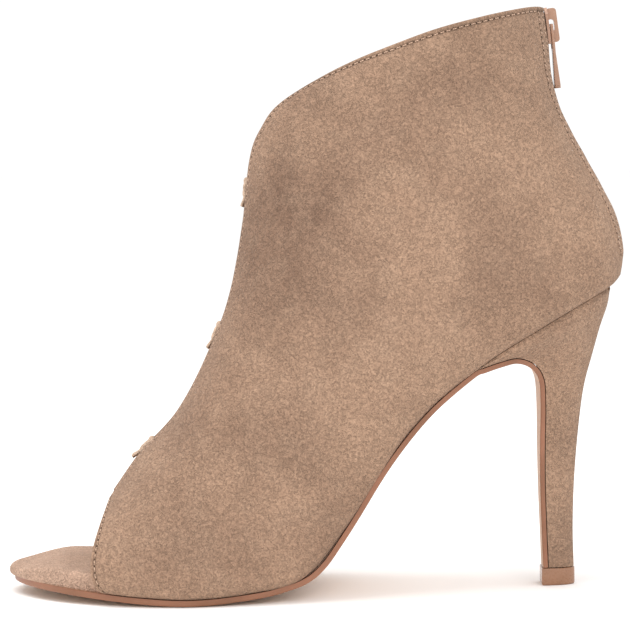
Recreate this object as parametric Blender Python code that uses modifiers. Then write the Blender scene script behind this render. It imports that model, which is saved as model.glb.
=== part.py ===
"""Peep-toe ankle boot on a stiletto heel: a left boot, empty, standing on its sole.

Units are metres and +Z is up. The toe points to -X, the lateral side is -Y and the medial side +Y.
The origin is on the floor, in the middle of the boot's box. All lengths along the boot are counted
from the toe of the insole while the pieces are made; the last step moves the boot over the origin.
"""

import math
from collections import namedtuple

import bmesh
import bpy
import numpy as np
from mathutils import Matrix, Vector

MM = 0.001

# Last: the form that the boot is made over
BOOT_LENGTH = 223.0 * MM
HEEL_HEIGHT = 108.0 * MM
SHAFT_HEIGHT = 99.0 * MM
BALL_WIDTH = 77.0 * MM
BALL_AT = 67.0 * MM
SEAT_WIDTH = 51.6 * MM
SEAT_LENGTH = 48.0 * MM
COLLAR_WIDTH = 59.0 * MM
TOE_SWING = 4.0 * MM
SLIT_GAP = 8.0 * MM

# Walls and clearances
UPPER_WALL = 1.8 * MM
FEATHER_ROLL = 2.2 * MM
FEATHER_ROLL_HEIGHT = 3.2 * MM
SOLE_THICKNESS = 2.2 * MM
BREAST_THICKNESS = 1.7 * MM
SOLE_BEVEL = 0.5 * MM
SOLE_SETBACK = 2.0 * MM
SOLE_TOE_STEPS = [0.1 * MM, 0.6 * MM, 1.8 * MM]
SOLE_BEND = 10.0 * MM
BREAST_STEPS = 34
SOLE_MARGIN = 0.5 * MM
INSOLE_ALONG = [0.0 * MM, 22.0 * MM, 70.0 * MM, 150.0 * MM, 222.0 * MM]
INSOLE_THICKNESS = [2.8 * MM, 6.4 * MM, 6.2 * MM, 4.6 * MM, 4.0 * MM]
INSOLE_ROUNDING = 1.8 * MM
INSOLE_NOSE = 3.0 * MM
INSOLE_NOSE_UNDER = 0.6
INSOLE_END_STEPS = [0.05 * MM, 0.35 * MM, 0.9 * MM, 1.8 * MM, 3.0 * MM]
CLEARANCE = 0.3 * MM
FEATHER_GAP = 0.55 * MM

# Heel tip under the covered heel
TIP_HEIGHT = 6.3 * MM
TIP_BEVEL = 0.7 * MM
HEEL_STEM_WIDTH = 10.0 * MM

# Zip at the back
ZIP_SLOT = 5.4 * MM
ZIP_END = 0.13
TAPE_WIDTH = 16.0 * MM
TAPE_THICKNESS = 0.7 * MM
TAPE_GAP = 0.7 * MM
COIL_WIDTH = 3.8 * MM
COIL_PROUD = 0.1 * MM
SLIDER_AT = 0.933
SLIDER_LENGTH = 13.0 * MM
SLIDER_WIDTH = 8.6 * MM
SLIDER_PLATE = 1.0 * MM
SLIDER_BEVEL = 0.25 * MM
BRIDGE_LENGTH = 12.2 * MM
BRIDGE_HEIGHT = 3.3 * MM
BRIDGE_SINK = 0.6 * MM
BRIDGE_THICKNESS = 2.4 * MM
BRIDGE_RIM = 1.3 * MM
PULL_HOLE_LENGTH = 4.3 * MM
PULL_HOLE_DEPTH = 2.2 * MM
PULL_LENGTH = 22.5 * MM
PULL_WIDTH = 6.4 * MM
PULL_RIM = 1.4 * MM
PULL_EYE_LENGTH = 7.6 * MM
PULL_PIN = 1.1 * MM
PULL_END_THICKNESS = 2.3 * MM
PULL_LEAN = 5.5

# Ties across the front slit
TIE_WIDTH = 4.4 * MM
TIE_THICKNESS = 1.0 * MM
TIE_REACH = 4.0 * MM
TIE_RISE = 2.2 * MM
TIE_GAP = 1.1 * MM
TIE_SLANT = 1.15
KNOT_LENGTH = 6.6 * MM
KNOT_WIDTH = 5.0 * MM
KNOT_DEPTH = 4.0 * MM
KNOT_OUT = 0.1 * MM
TAIL_LENGTH = 5.0 * MM
TAIL_WIDTH = 2.6 * MM

LATERAL = -1
MEDIAL = 1

# Profile of the foot bed, which is the top line of the sole: lengths as shares of BOOT_LENGTH and
# heights as shares of HEEL_HEIGHT
BedRow = namedtuple("BedRow", "along rise")
BED = [
    BedRow(0.000, 0.062),
    BedRow(0.0582, 0.055),
    BedRow(0.1299, 0.043),
    BedRow(0.2106, 0.029),
    BedRow(0.2912, 0.0195),
    BedRow(0.3669, 0.027),
    BedRow(0.4435, 0.050),
    BedRow(0.4993, 0.100),
    BedRow(0.5510, 0.240),
    BedRow(0.6137, 0.440),
    BedRow(0.6765, 0.600),
    BedRow(0.7392, 0.713),
    BedRow(0.7979, 0.797),
    BedRow(0.8616, 0.874),
    BedRow(0.9263, 0.947),
    BedRow(0.9801, 1.000),
]

# Half widths of the foot bed between the ball and the heel seat, as shares of BALL_WIDTH
WaistRow = namedtuple("WaistRow", "along lateral medial")
WAIST = [
    WaistRow(0.3937, 0.466, 0.425),
    WaistRow(0.4793, 0.414, 0.356),
    WaistRow(0.5510, 0.374, 0.312),
    WaistRow(0.6317, 0.349, 0.300),
    WaistRow(0.7073, 0.342, 0.315),
]

# Sections of the upper from the toe opening to the back seam. along and lean are shares of
# BOOT_LENGTH, height of SHAFT_HEIGHT, spread of COLLAR_WIDTH and swell of BALL_WIDTH. lean says how
# far the top of the section lies behind its foot, spread how far its top edge lies outside the slit,
# swell how far it bellies, counter how much of the heel curve it takes and bow how far it bulges to
# the toe.
Section = namedtuple("Section", "along lean height spread swell counter bow")
SECTIONS = [
    Section(0.1665, 0.0015, 0.307, 0.110, 0.000, 0.0, 0.0225),
    Section(0.2280, -0.0120, 0.469, 0.022, 0.004, 0.0, 0.0060),
    Section(0.3040, -0.0265, 0.626, 0.005, 0.006, 0.0, 0.0),
    Section(0.3935, -0.0635, 0.829, 0.000, 0.013, 0.0, 0.0),
    Section(0.4790, -0.1120, 0.996, 0.000, 0.026, 0.0, 0.0),
    Section(0.5510, -0.1600, 1.071, 0.000, 0.040, 0.0, 0.0),
    Section(0.6315, -0.2275, 1.030, 0.000, 0.055, 0.0, 0.0),
    Section(0.6695, -0.2470, 1.037, 0.022, 0.060, 0.0, 0.0),
    Section(0.7075, -0.2485, 1.053, 0.100, 0.062, 0.0, 0.0),
    Section(0.7840, -0.2250, 1.049, 0.290, 0.062, 0.1, 0.0),
    Section(0.8555, -0.1800, 1.050, 0.430, 0.055, 0.35, 0.0),
    Section(0.9185, -0.1440, 1.031, 0.370, 0.046, 0.7, 0.0),
    Section(0.9600, -0.1120, 1.020, 0.190, 0.032, 0.95, 0.0),
]
BACK_SEAM = Section(0.9780, -0.1030, 1.004, 0.000, 0.000, 1.0, 0.0)
SECTION_FULLNESS = 2.25
SWELL_PEAK = 0.6

# Curve of the back seam: how far it stands behind a straight line, as shares of BOOT_LENGTH
CurveRow = namedtuple("CurveRow", "height behind")
HEEL_CURVE = [
    CurveRow(0.000, 0.000),
    CurveRow(0.015, 0.0135),
    CurveRow(0.040, 0.0235),
    CurveRow(0.090, 0.0315),
    CurveRow(0.170, 0.0370),
    CurveRow(0.270, 0.0350),
    CurveRow(0.360, 0.0252),
    CurveRow(0.450, 0.0125),
    CurveRow(0.550, -0.0015),
    CurveRow(0.650, -0.0115),
    CurveRow(0.750, -0.0135),
    CurveRow(0.870, -0.0060),
    CurveRow(1.000, 0.000),
]

# Sections of the covered heel from its front lip to its foot. The front points are also the line
# that the sole takes down the breast of the heel. Lengths are shares of BOOT_LENGTH, heights of
# HEEL_HEIGHT above the tip, widths of SEAT_WIDTH.
HeelRow = namedtuple("HeelRow", "front_along front_rise back_along back_rise width")
HEEL = [
    HeelRow(0.7640, 0.7190, 0.9740, 0.9900, 0.500),
    HeelRow(0.7960, 0.7520, 0.9730, 0.9350, 0.470),
    HeelRow(0.8240, 0.7600, 0.9620, 0.8550, 0.395),
    HeelRow(0.8500, 0.7370, 0.9490, 0.7500, 0.310),
    HeelRow(0.8665, 0.6850, 0.9390, 0.6700, 0.248),
    HeelRow(0.8705, 0.5950, 0.9320, 0.5850, 0.200),
    HeelRow(0.8700, 0.4280, 0.9240, 0.4280, 0.145),
    HeelRow(0.8705, 0.2800, 0.9190, 0.2800, 0.114),
    HeelRow(0.8725, 0.1320, 0.9170, 0.1320, 0.100),
    HeelRow(0.8745, 0.0000, 0.9180, 0.0000, 0.097),
]
SEAT_SQUARENESS = 3.1
STEM_SQUARENESS = 2.3
SOLE_CROWN = 0.5 * MM

# Heights of the three ties up the slit, as shares of the boot's height
TIE_HEIGHTS = {"front_tie_lower": 0.245, "front_tie_middle": 0.450, "front_tie_upper": 0.697}


def catmull(points, t):
    """Points on the smooth curve through a row of points, where t counts the points from 0."""
    points = np.asarray(points, float)
    first = 2 * points[0] - points[1]
    last = 2 * points[-1] - points[-2]
    row = np.vstack([[first], points, [last]])
    t = np.clip(np.atleast_1d(np.asarray(t, float)), 0, len(points) - 1)
    i = np.minimum(t.astype(int), len(points) - 2)
    s = (t - i)[:, None]
    p0, p1, p2, p3 = row[i], row[i + 1], row[i + 2], row[i + 3]
    bend = 2 * p0 - 5 * p1 + 4 * p2 - p3
    twist = 3 * p1 - p0 - 3 * p2 + p3
    return 0.5 * (2 * p1 + (p2 - p0) * s + bend * s**2 + twist * s**3)


def ease(x, xs, ys):
    """A curve through the points (xs, ys) that never overshoots them and is level at both ends."""
    xs, ys = np.asarray(xs, float), np.asarray(ys, float)
    step = np.diff(ys) / np.diff(xs)
    slope = np.zeros(len(xs))
    inner = step[:-1] * step[1:] > 0
    slope[1:-1][inner] = 2 * step[:-1][inner] * step[1:][inner] / (step[:-1][inner] + step[1:][inner])
    i = np.clip(np.searchsorted(xs, x) - 1, 0, len(xs) - 2)
    width = xs[i + 1] - xs[i]
    s = (x - xs[i]) / width
    rise = s * s * (3 - 2 * s)
    start = s * (1 - s) ** 2 * width * slope[i]
    end = s * s * (s - 1) * width * slope[i + 1]
    return ys[i] + (ys[i + 1] - ys[i]) * rise + start + end


def unit(vectors):
    """Vectors made one long."""
    return vectors / np.linalg.norm(vectors, axis=-1, keepdims=True)


def even_along(line, spacing):
    """Lengths x along a line in the X-Z plane, evenly spaced as it is walked."""
    walked = np.concatenate([[0], np.cumsum(np.linalg.norm(np.diff(line, axis=0), axis=1))])
    return np.interp(np.linspace(0, walked[-1], round(walked[-1] / spacing) + 1), walked, line[:, 0])


def side_normals(line):
    """The normals of a line in the X-Z plane, on its upper side where it runs to +X."""
    along = unit(np.gradient(line, axis=0))
    return np.stack([-along[:, 1], along[:, 0]], 1)


BED_SAMPLES = 400
BED_LINE = catmull(
    [(row.along * BOOT_LENGTH, row.rise * HEEL_HEIGHT) for row in BED],
    np.linspace(0, len(BED) - 1, BED_SAMPLES),
)
BED_NORMALS = side_normals(BED_LINE)
STATION_SPACING = 4.4 * MM
STATIONS = even_along(BED_LINE, STATION_SPACING)


def bed(x, above=0.0):
    """The point of the foot bed at a length x, lifted square to the bed, as (x, z)."""
    point = np.array([np.interp(x, BED_LINE[:, 0], BED_LINE[:, k]) for k in (0, 1)])
    normal = np.array([np.interp(x, BED_LINE[:, 0], BED_NORMALS[:, k]) for k in (0, 1)])
    return point + above * normal


def swing(x):
    """How far the middle of the toe lies to the medial side, at a length x."""
    return TOE_SWING * max(0.0, 1 - x / BALL_AT) ** 2


def outline(side, x, grow=0.0, setback=0.0):
    """Half width of the foot bed on one side at a length x: an ellipse to the ball, then the waist,
    then the round of the heel seat. grow widens it all round but at the toe, and setback takes the
    toe back."""
    ball = BALL_WIDTH / 2 + grow
    seat = SEAT_WIDTH / 2 + grow
    back = BACK_SEAM.along * BOOT_LENGTH
    seat_start = back - SEAT_LENGTH
    if x < BALL_AT:
        share = (BALL_AT - x) / (BALL_AT - setback)
        return ball * math.sqrt(max(0.0, 1 - share**2))
    if x < seat_start:
        lengths = [BALL_AT] + [row.along * BOOT_LENGTH for row in WAIST] + [seat_start]
        widths = [row.lateral if side == LATERAL else row.medial for row in WAIST]
        halves = [ball] + [w * BALL_WIDTH + grow for w in widths] + [seat]
        return float(ease(x, lengths, halves))
    share = (x - seat_start) / (back + grow - seat_start)
    return seat * math.sqrt(max(0.0, 1 - share**SEAT_SQUARENESS))


def swell_at(v):
    """How the belly of a section grows and fades with its height share v, fullest low down."""
    return math.sin(math.pi * v**SWELL_PEAK)


def section_point(row, side, v):
    """The point on the outside of one section of the upper at height share v."""
    x = row.along * BOOT_LENGTH
    foot = bed(x, FEATHER_GAP)
    height = row.height * SHAFT_HEIGHT
    behind = catmull([(r.height, r.behind) for r in HEEL_CURVE], curve_rank(v))[0][1]
    px = foot[0] + (row.lean * v + row.counter * behind - row.bow * swell_at(v)) * BOOT_LENGTH
    pz = foot[1] + height * v
    if row is BACK_SEAM:
        return np.array([px, 0.0, pz])
    top = SLIT_GAP / 2 + row.spread * COLLAR_WIDTH
    foot_y = outline(side, x)
    rolled = 1 - min(height * v / FEATHER_ROLL_HEIGHT, 1.0)
    roll = FEATHER_ROLL * math.sqrt(1 - rolled**2) * (1 - 0.5 * row.counter)
    round_share = math.sqrt(max(0.0, 1 - v**SECTION_FULLNESS))
    y = top + (foot_y - top) * round_share + row.swell * BALL_WIDTH * swell_at(v)
    return np.array([px, side * (y + roll * round_share) + swing(x) * (1 - v), pz])


def curve_rank(v):
    """Where the height share v falls among the rows of the heel curve."""
    return np.interp(v, [r.height for r in HEEL_CURVE], range(len(HEEL_CURVE)))


BACK = len(SECTIONS)


def upper_row(v, u):
    """Points on the outside of the upper at height share v. u counts the sections, from 0 at the
    lateral toe opening through BACK at the back seam to 2 * BACK at the medial toe opening."""
    ring = [section_point(row, LATERAL, v) for row in SECTIONS]
    ring += [section_point(BACK_SEAM, LATERAL, v)]
    ring += [section_point(row, MEDIAL, v) for row in reversed(SECTIONS)]
    return catmull(ring, u)


def upper_normals(v, u):
    """The outward normals of the upper at the same points."""
    step_u, step_v = 1e-3, 1e-3
    low, high = max(v - step_v, 0.0), min(v + step_v, 1.0)
    u = np.atleast_1d(np.asarray(u, float))
    across = upper_row(v, u + step_u) - upper_row(v, u - step_u)
    up = upper_row(high, u) - upper_row(low, u)
    return unit(np.cross(across, up))


def u_at_back(v, y, side):
    """The u near the back seam where the upper is y away from the middle."""
    shares = np.linspace(0, 1.6, 60)
    found = np.interp(y, np.abs(upper_row(v, BACK - shares)[:, 1]), shares)
    return BACK + side * found


def material(name, colour, roughness, metallic=0.0):
    """A plain material with a colour, a roughness and a metallic value."""
    made = bpy.data.materials.new(name)
    made.use_nodes = True
    surface = made.node_tree.nodes["Principled BSDF"]
    surface.inputs["Base Color"].default_value = (*colour, 1)
    surface.inputs["Roughness"].default_value = roughness
    surface.inputs["Metallic"].default_value = metallic
    return made


def mesh_object(name, points, faces, surface, collection, closed=True):
    """A mesh object from points and faces. A closed one has its faces turned outwards."""
    mesh = bpy.data.meshes.new(name)
    mesh.from_pydata([tuple(map(float, p)) for p in points], [], faces)
    if closed:
        shape = bmesh.new()
        shape.from_mesh(mesh)
        bmesh.ops.recalc_face_normals(shape, faces=shape.faces)
        shape.to_mesh(mesh)
        shape.free()
    made = bpy.data.objects.new(name, mesh)
    mesh.materials.append(surface)
    collection.objects.link(made)
    return made


def smooth(made, angle=40.0):
    """Shades a mesh smooth but for its sharp edges."""
    made.data.shade_smooth()
    made.data.set_sharp_from_angle(angle=math.radians(angle))


def loft(name, rings, surface, collection, first_cap=None, last_cap=None):
    """A closed solid through rings of as many points each. A cap is a list of faces by ring index,
    and without one the end is closed by a single face."""
    count = len(rings[0])
    points = np.vstack(rings)
    faces = []
    for k in range(len(rings) - 1):
        for i in range(count):
            j = (i + 1) % count
            a, b = k * count, (k + 1) * count
            faces.append((a + i, a + j, b + j, b + i))
    end = (len(rings) - 1) * count
    faces += first_cap if first_cap else [tuple(range(count))]
    faces += [tuple(end + i for i in f) for f in (last_cap or [tuple(range(count))])]
    made = mesh_object(name, points, faces, surface, collection)
    smooth(made)
    return made


UPPER_HEIGHTS = [0, 0.012, 0.03, 0.07, ZIP_END, 0.2, 0.29, 0.38, 0.48, 0.58, 0.68, 0.78, 0.86]
UPPER_HEIGHTS += [0.93, 0.97, 0.99, 1.0]
UPPER_COLUMNS = 34


def make_upper(surface, collection):
    """The upper: one wall from the feather edge to the slit and the collar, open at the toe, the
    front slit and the zip slot."""
    points, faces = [], []
    for v in UPPER_HEIGHTS:
        lateral = u_at_back(v, ZIP_SLOT / 2, -1) * np.linspace(0, 1, UPPER_COLUMNS)
        u = np.concatenate([lateral, [BACK], 2 * BACK - lateral[::-1]])
        points.append(upper_row(v, u))
    count = 2 * UPPER_COLUMNS + 1
    slot = (UPPER_COLUMNS - 1, UPPER_COLUMNS)
    for k, v in enumerate(UPPER_HEIGHTS[:-1]):
        for i in range(count - 1):
            if i in slot and v >= ZIP_END:
                continue
            a, b = k * count + i, (k + 1) * count + i
            faces.append((a, a + 1, b + 1, b))
    used = sorted({i for f in faces for i in f})
    order = {old: new for new, old in enumerate(used)}
    faces = [tuple(order[i] for i in f) for f in faces]
    upper = mesh_object("upper", np.vstack(points)[used], faces, surface, collection, closed=False)
    wall = upper.modifiers.new("wall", "SOLIDIFY")
    wall.thickness = UPPER_WALL
    wall.offset = -1
    wall.use_even_offset = True
    smooth(upper, 60)
    return upper


def insole_ring(x, lateral, medial, middle, low, high):
    """A section of the insole between two heights over the bed: flat below, its top edges round."""
    r = min(INSOLE_ROUNDING, 0.45 * (lateral + medial), 0.45 * (high - low))
    corner = [(r * (1 - math.cos(a)), r * (1 - math.sin(a))) for a in np.radians([0, 30, 60, 90])]
    ring = [(middle - lateral, low), (middle + medial, low)]
    ring += [(middle + medial - inset, high - drop) for inset, drop in corner]
    ring += [(middle - lateral + inset, high - drop) for inset, drop in reversed(corner)]
    return [(px, y, pz) for y, (px, pz) in ((y, bed(x, up)) for y, up in ring)]


def make_insole(surface, collection):
    """The covered insole, from the toe, which shows, to the heel seat inside the upper."""
    inset = UPPER_WALL + CLEARANCE + 0.1 * MM
    back = BACK_SEAM.along * BOOT_LENGTH - inset
    ends = np.array(INSOLE_END_STEPS)
    inner = [x for x in STATIONS if ends[-1] + MM < x < back - ends[-1] - MM]
    rings = []
    for x in [*ends, *inner, *(back - ends[::-1])]:
        lateral, medial = (outline(side, x, -inset) for side in (LATERAL, MEDIAL))
        thickness = float(ease(x, INSOLE_ALONG, INSOLE_THICKNESS))
        nose = min(1.0, x / INSOLE_NOSE, (back - x) / INSOLE_NOSE)
        tuck = (1 - math.sqrt(1 - (1 - nose) ** 2)) * thickness / 2
        low, high = CLEARANCE + tuck * INSOLE_NOSE_UNDER, CLEARANCE + thickness - tuck
        rings.append(insole_ring(x, lateral, medial, swing(x), low, high))
    return loft("insole", rings, surface, collection)


def heel_front(row):
    """The point of the sole's inner line at one heel row, as (x, z)."""
    stem = HEEL_HEIGHT - TIP_HEIGHT - CLEARANCE
    return row.front_along * BOOT_LENGTH, TIP_HEIGHT + CLEARANCE + row.front_rise * stem


def heel_back(row):
    """The point of the heel's back line at one heel row, as (x, z)."""
    stem = HEEL_HEIGHT - TIP_HEIGHT - CLEARANCE
    return row.back_along * BOOT_LENGTH, TIP_HEIGHT + CLEARANCE + row.back_rise * stem


def make_outsole(surface, collection):
    """The outsole: one strip from the toe under the foot bed, then down the breast of the heel."""
    lip = HEEL[0].front_along * BOOT_LENGTH
    toe = [SOLE_SETBACK + step for step in SOLE_TOE_STEPS]
    under = [bed(x) for x in toe + [x for x in STATIONS if toe[-1] + MM < x < lip - SOLE_BEND]]
    ranks = np.linspace(0, len(HEEL) - 1, BREAST_STEPS)
    breast = catmull([heel_front(row) for row in HEEL], ranks)
    widths = catmull([(row.width * SEAT_WIDTH, 0) for row in HEEL], ranks)[:, 0]
    line = np.vstack([under, breast])
    rings = []
    for k, ((x, z), normal) in enumerate(zip(line, side_normals(line))):
        if k < len(under):
            halves = [outline(side, x, SOLE_MARGIN, SOLE_SETBACK) for side in (LATERAL, MEDIAL)]
            thickness = np.interp(x, [BALL_AT, lip], [SOLE_THICKNESS, BREAST_THICKNESS])
            crown = SOLE_CROWN * np.interp(x, [0.45 * BOOT_LENGTH, 0.58 * BOOT_LENGTH], [0, 1])
        else:
            halves = [widths[k - len(under)]] * 2
            thickness = BREAST_THICKNESS
            crown = SOLE_CROWN * 2 * halves[0] / SEAT_WIDTH
        rings.append(sole_ring((x, z), normal, halves, swing(x), thickness, crown))
    return loft("outsole", rings, surface, collection)


def sole_ring(point, normal, halves, middle, thickness, crown):
    """A section of the outsole: flat on top, with a small bevel along its edge and a crown below.
    Nothing of it goes under the floor."""
    lateral, medial = halves
    bevel = min(SOLE_BEVEL, 0.4 * lateral)
    ring = [(-lateral, 0.0), (0.0, 0.0), (medial, 0.0), (medial, bevel - thickness)]
    for share in (1.0, 0.6, 0.0, -0.6, -1.0):
        half = medial if share > 0 else lateral
        ring.append((share * (half - bevel), -thickness - crown * math.sqrt(1 - share**2)))
    ring.append((-lateral, bevel - thickness))
    points = []
    for y, up in ring:
        x, z = point[0] + normal[0] * up, point[1] + normal[1] * up
        points.append((x, middle + y, max(z, 0.0)))
    return points


HEEL_SIDE_POINTS = 11


def heel_ring(front, back, lateral, medial, squareness):
    """A section of the heel between its front and back points: a flat breast and a round back.
    The points run from the lateral front corner round the back to the medial one."""
    shares = 1 - (1 - np.linspace(0, 1, HEEL_SIDE_POINTS)) ** 2
    halves = np.sqrt(np.maximum(0.0, 1 - shares**squareness))
    ring = []
    for half, sign, a, h in [(lateral, -1, a, h) for a, h in zip(shares, halves)] + [
        (medial, 1, a, h) for a, h in zip(shares[-2::-1], halves[-2::-1])
    ]:
        ring.append(
            (front[0] + (back[0] - front[0]) * a, sign * half * h, front[1] + (back[1] - front[1]) * a)
        )
    return ring


def make_heel(surface, collection):
    """The covered heel, from the heel seat down to the tip. Its top follows the foot bed."""
    fronts = np.array([heel_front(row) for row in HEEL])
    backs = np.array([heel_back(row) for row in HEEL])
    steps = np.linspace(0, len(HEEL) - 1, 31)
    fine = catmull(fronts, np.linspace(0, len(HEEL) - 1, 200))
    normals = side_normals(fine)
    rings = []
    seat_front = HEEL[0].front_along * BOOT_LENGTH
    seat_back = BACK_SEAM.along * BOOT_LENGTH - CLEARANCE
    shares = 1 - (1 - np.linspace(0, 1, HEEL_SIDE_POINTS)) ** 2
    seat = []
    for sign, row in [(LATERAL, shares), (MEDIAL, shares[-2::-1])]:
        for a in row:
            x = seat_front + (seat_back - seat_front) * a
            px, pz = bed(x, 0.0)
            seat.append((px, sign * outline(sign, x, -CLEARANCE), pz))
    rings.append(seat)
    for t in steps:
        front = catmull(fronts, t)[0]
        nearest = np.argmin(np.linalg.norm(fine - front, axis=1))
        front = front + normals[nearest] * CLEARANCE
        back = catmull(backs, t)[0]
        half = catmull([(row.width * SEAT_WIDTH, 0) for row in HEEL], t)[0][0]
        squareness = np.interp(t, [0, 4, 9], [SEAT_SQUARENESS, STEM_SQUARENESS, STEM_SQUARENESS])
        rings.append(heel_ring(front, back, half, half, squareness))
    last = 2 * HEEL_SIDE_POINTS - 2
    middle = HEEL_SIDE_POINTS - 1
    cap = [(i, i + 1, last - i - 1, last - i) for i in range(middle - 1)]
    cap.append((middle - 1, middle, middle + 1))
    return loft("heel", rings, surface, collection, first_cap=cap, last_cap=cap)


def make_heel_tip(surface, collection):
    """The tip that the heel stands on, as deep as the stem and the sole's end together."""
    front_x, _ = heel_front(HEEL[-1])
    back_x, _ = heel_back(HEEL[-1])
    half = HEEL[-1].width * SEAT_WIDTH
    rings = []
    for z, inset in [(0.0, TIP_BEVEL), (TIP_BEVEL, 0.0), (TIP_HEIGHT - 0.3 * MM, 0.0), (TIP_HEIGHT, 0.2 * MM)]:
        front = (front_x - SOLE_THICKNESS + inset, z)
        back = (back_x + 0.3 * MM - inset, z)
        rings.append(heel_ring(front, back, half - inset, half - inset, STEM_SQUARENESS))
    last = 2 * HEEL_SIDE_POINTS - 2
    middle = HEEL_SIDE_POINTS - 1
    cap = [(i, i + 1, last - i - 1, last - i) for i in range(middle - 1)]
    cap.append((middle - 1, middle, middle + 1))
    return loft("heel_tip", rings, surface, collection, first_cap=cap, last_cap=cap)


def zip_point(v, y, out):
    """A point over the back seam at height share v, y off the middle and out from the surface."""
    side = MEDIAL if y > 0 else LATERAL
    u = u_at_back(v, abs(y), side)
    point = upper_row(v, u)[0]
    normal = upper_normals(v, u)[0]
    return (point[0] + normal[0] * out, y, point[2] + normal[2] * out)


def make_zip_tape(surface, collection):
    """The woven tape of the zip, behind the slot and inside the upper."""
    near = UPPER_WALL + TAPE_GAP
    across = np.linspace(-TAPE_WIDTH / 2, TAPE_WIDTH / 2, 9)
    rings = []
    for v in np.linspace(ZIP_END - 0.02, 0.985, 24):
        front = [zip_point(v, y, -near) for y in across]
        back = [zip_point(v, y, -near - TAPE_THICKNESS) for y in across[::-1]]
        rings.append(front + back)
    return loft("zip_tape", rings, surface, collection)


def make_zip_coil(surface, collection):
    """The closed coil of the zip, standing in the slot."""
    low = -UPPER_WALL
    centre, depth = (low + COIL_PROUD) / 2, (COIL_PROUD - low) / 2
    angles = np.linspace(0, 2 * math.pi, 12, endpoint=False)
    rings = []
    for v in np.linspace(ZIP_END + 0.012, 0.992, 26):
        ring = []
        for angle in angles:
            out = centre + depth * math.cos(angle)
            base = np.array(zip_point(v, 0.0, out))
            base[1] = COIL_WIDTH / 2 * math.sin(angle)
            ring.append(base)
        rings.append(ring)
    return loft("zip_coil", rings, surface, collection)


def flat_piece(name, outlines, thickness, bevel, surface, collection):
    """A flat piece with holes, made from outlines in its own X-Y plane, the first one outermost."""
    flat = bpy.data.curves.new(name, "CURVE")
    flat.dimensions = "2D"
    flat.fill_mode = "BOTH"
    flat.extrude = thickness / 2
    for points in outlines:
        spline = flat.splines.new("POLY")
        spline.points.add(len(points) - 1)
        for target, (x, y) in zip(spline.points, points):
            target.co = (x, y, 0, 1)
        spline.use_cyclic_u = True
    shape = bpy.data.objects.new(name + "_outline", flat)
    mesh = bpy.data.meshes.new_from_object(shape)
    bpy.data.objects.remove(shape)
    edit = bmesh.new()
    edit.from_mesh(mesh)
    bmesh.ops.remove_doubles(edit, verts=edit.verts, dist=1e-6)
    bmesh.ops.recalc_face_normals(edit, faces=edit.faces)
    edit.to_mesh(mesh)
    edit.free()
    made = bpy.data.objects.new(name, mesh)
    mesh.materials.clear()
    mesh.materials.append(surface)
    collection.objects.link(made)
    if bevel:
        edge = made.modifiers.new("edge", "BEVEL")
        edge.width = bevel
        edge.segments = 2
        edge.limit_method = "ANGLE"
        edge.angle_limit = math.radians(50)
    smooth(made, 50)
    return made


def rounded(width, height, radius, steps=4, middle=(0.0, 0.0)):
    """The outline of a rectangle with round corners."""
    points = []
    for k, (sx, sy) in enumerate([(1, 1), (-1, 1), (-1, -1), (1, -1)]):
        cx, cy = sx * (width / 2 - radius), sy * (height / 2 - radius)
        for angle in np.linspace(k * math.pi / 2, (k + 1) * math.pi / 2, steps + 1):
            points.append((middle[0] + cx + radius * math.cos(angle),
                           middle[1] + cy + radius * math.sin(angle)))
    return points


def frame_matrix(origin, out, up):
    """Where a piece goes whose local X points out of the boot and Z up it."""
    x_axis = Vector((out[0], 0, out[1])).normalized()
    z_axis = Vector((up[0], 0, up[1])).normalized()
    y_axis = z_axis.cross(x_axis)
    turn = Matrix((x_axis, y_axis, z_axis)).transposed().to_4x4()
    return Matrix.Translation(origin) @ turn


def make_slider(surface, collection):
    """The slider at the top of the zip: a plate over the coil and a bridge that holds the pull."""
    seat = zip_point(SLIDER_AT, 0.0, 0.0)
    below = zip_point(SLIDER_AT - 0.05, 0.0, 0.0)
    above = zip_point(SLIDER_AT + 0.05, 0.0, 0.0)
    up = np.array([above[0] - below[0], above[2] - below[2]])
    out = (up[1], -up[0])
    shoulder = SLIDER_WIDTH / 2
    plate = [(shoulder * 0.62, -SLIDER_LENGTH / 2), (shoulder, -SLIDER_LENGTH * 0.1),
             (shoulder, SLIDER_LENGTH * 0.32), (shoulder * 0.55, SLIDER_LENGTH / 2)]
    plate = plate + [(-x, y) for x, y in reversed(plate)]
    slider = flat_piece("zip_slider", [plate], SLIDER_PLATE, 0.0, surface, collection)
    face = COIL_PROUD + CLEARANCE
    stand = Matrix(((0, 0, 1, face + SLIDER_PLATE / 2), (1, 0, 0, 0), (0, 1, 0, 0), (0, 0, 0, 1)))
    slider.data.transform(stand)
    length = BRIDGE_LENGTH
    depth = BRIDGE_HEIGHT + BRIDGE_SINK
    arch = rounded(depth, length, 1.2 * MM)
    hole = rounded(PULL_HOLE_DEPTH, PULL_HOLE_LENGTH, PULL_HOLE_DEPTH * 0.45)
    top = face + SLIDER_PLATE
    hole_at = top + BRIDGE_HEIGHT - BRIDGE_RIM - PULL_HOLE_DEPTH / 2
    arch = [(x + top + BRIDGE_HEIGHT - depth / 2, y) for x, y in arch]
    hole = [(x + hole_at, y) for x, y in hole]
    bridge = flat_piece("zip_bridge_shape", [arch, hole], BRIDGE_THICKNESS, 0.0, surface, collection)
    bridge.data.transform(Matrix(((1, 0, 0, 0), (0, 0, -1, 0), (0, 1, 0, 0), (0, 0, 0, 1))))
    join(slider, [bridge])
    edge = slider.modifiers.new("edge", "BEVEL")
    edge.width = SLIDER_BEVEL
    edge.segments = 2
    edge.limit_method = "ANGLE"
    edge.angle_limit = math.radians(50)
    place = frame_matrix(Vector(seat), out, up)
    slider.matrix_world = place
    return slider, place @ Vector((hole_at, 0, 0))


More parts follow.
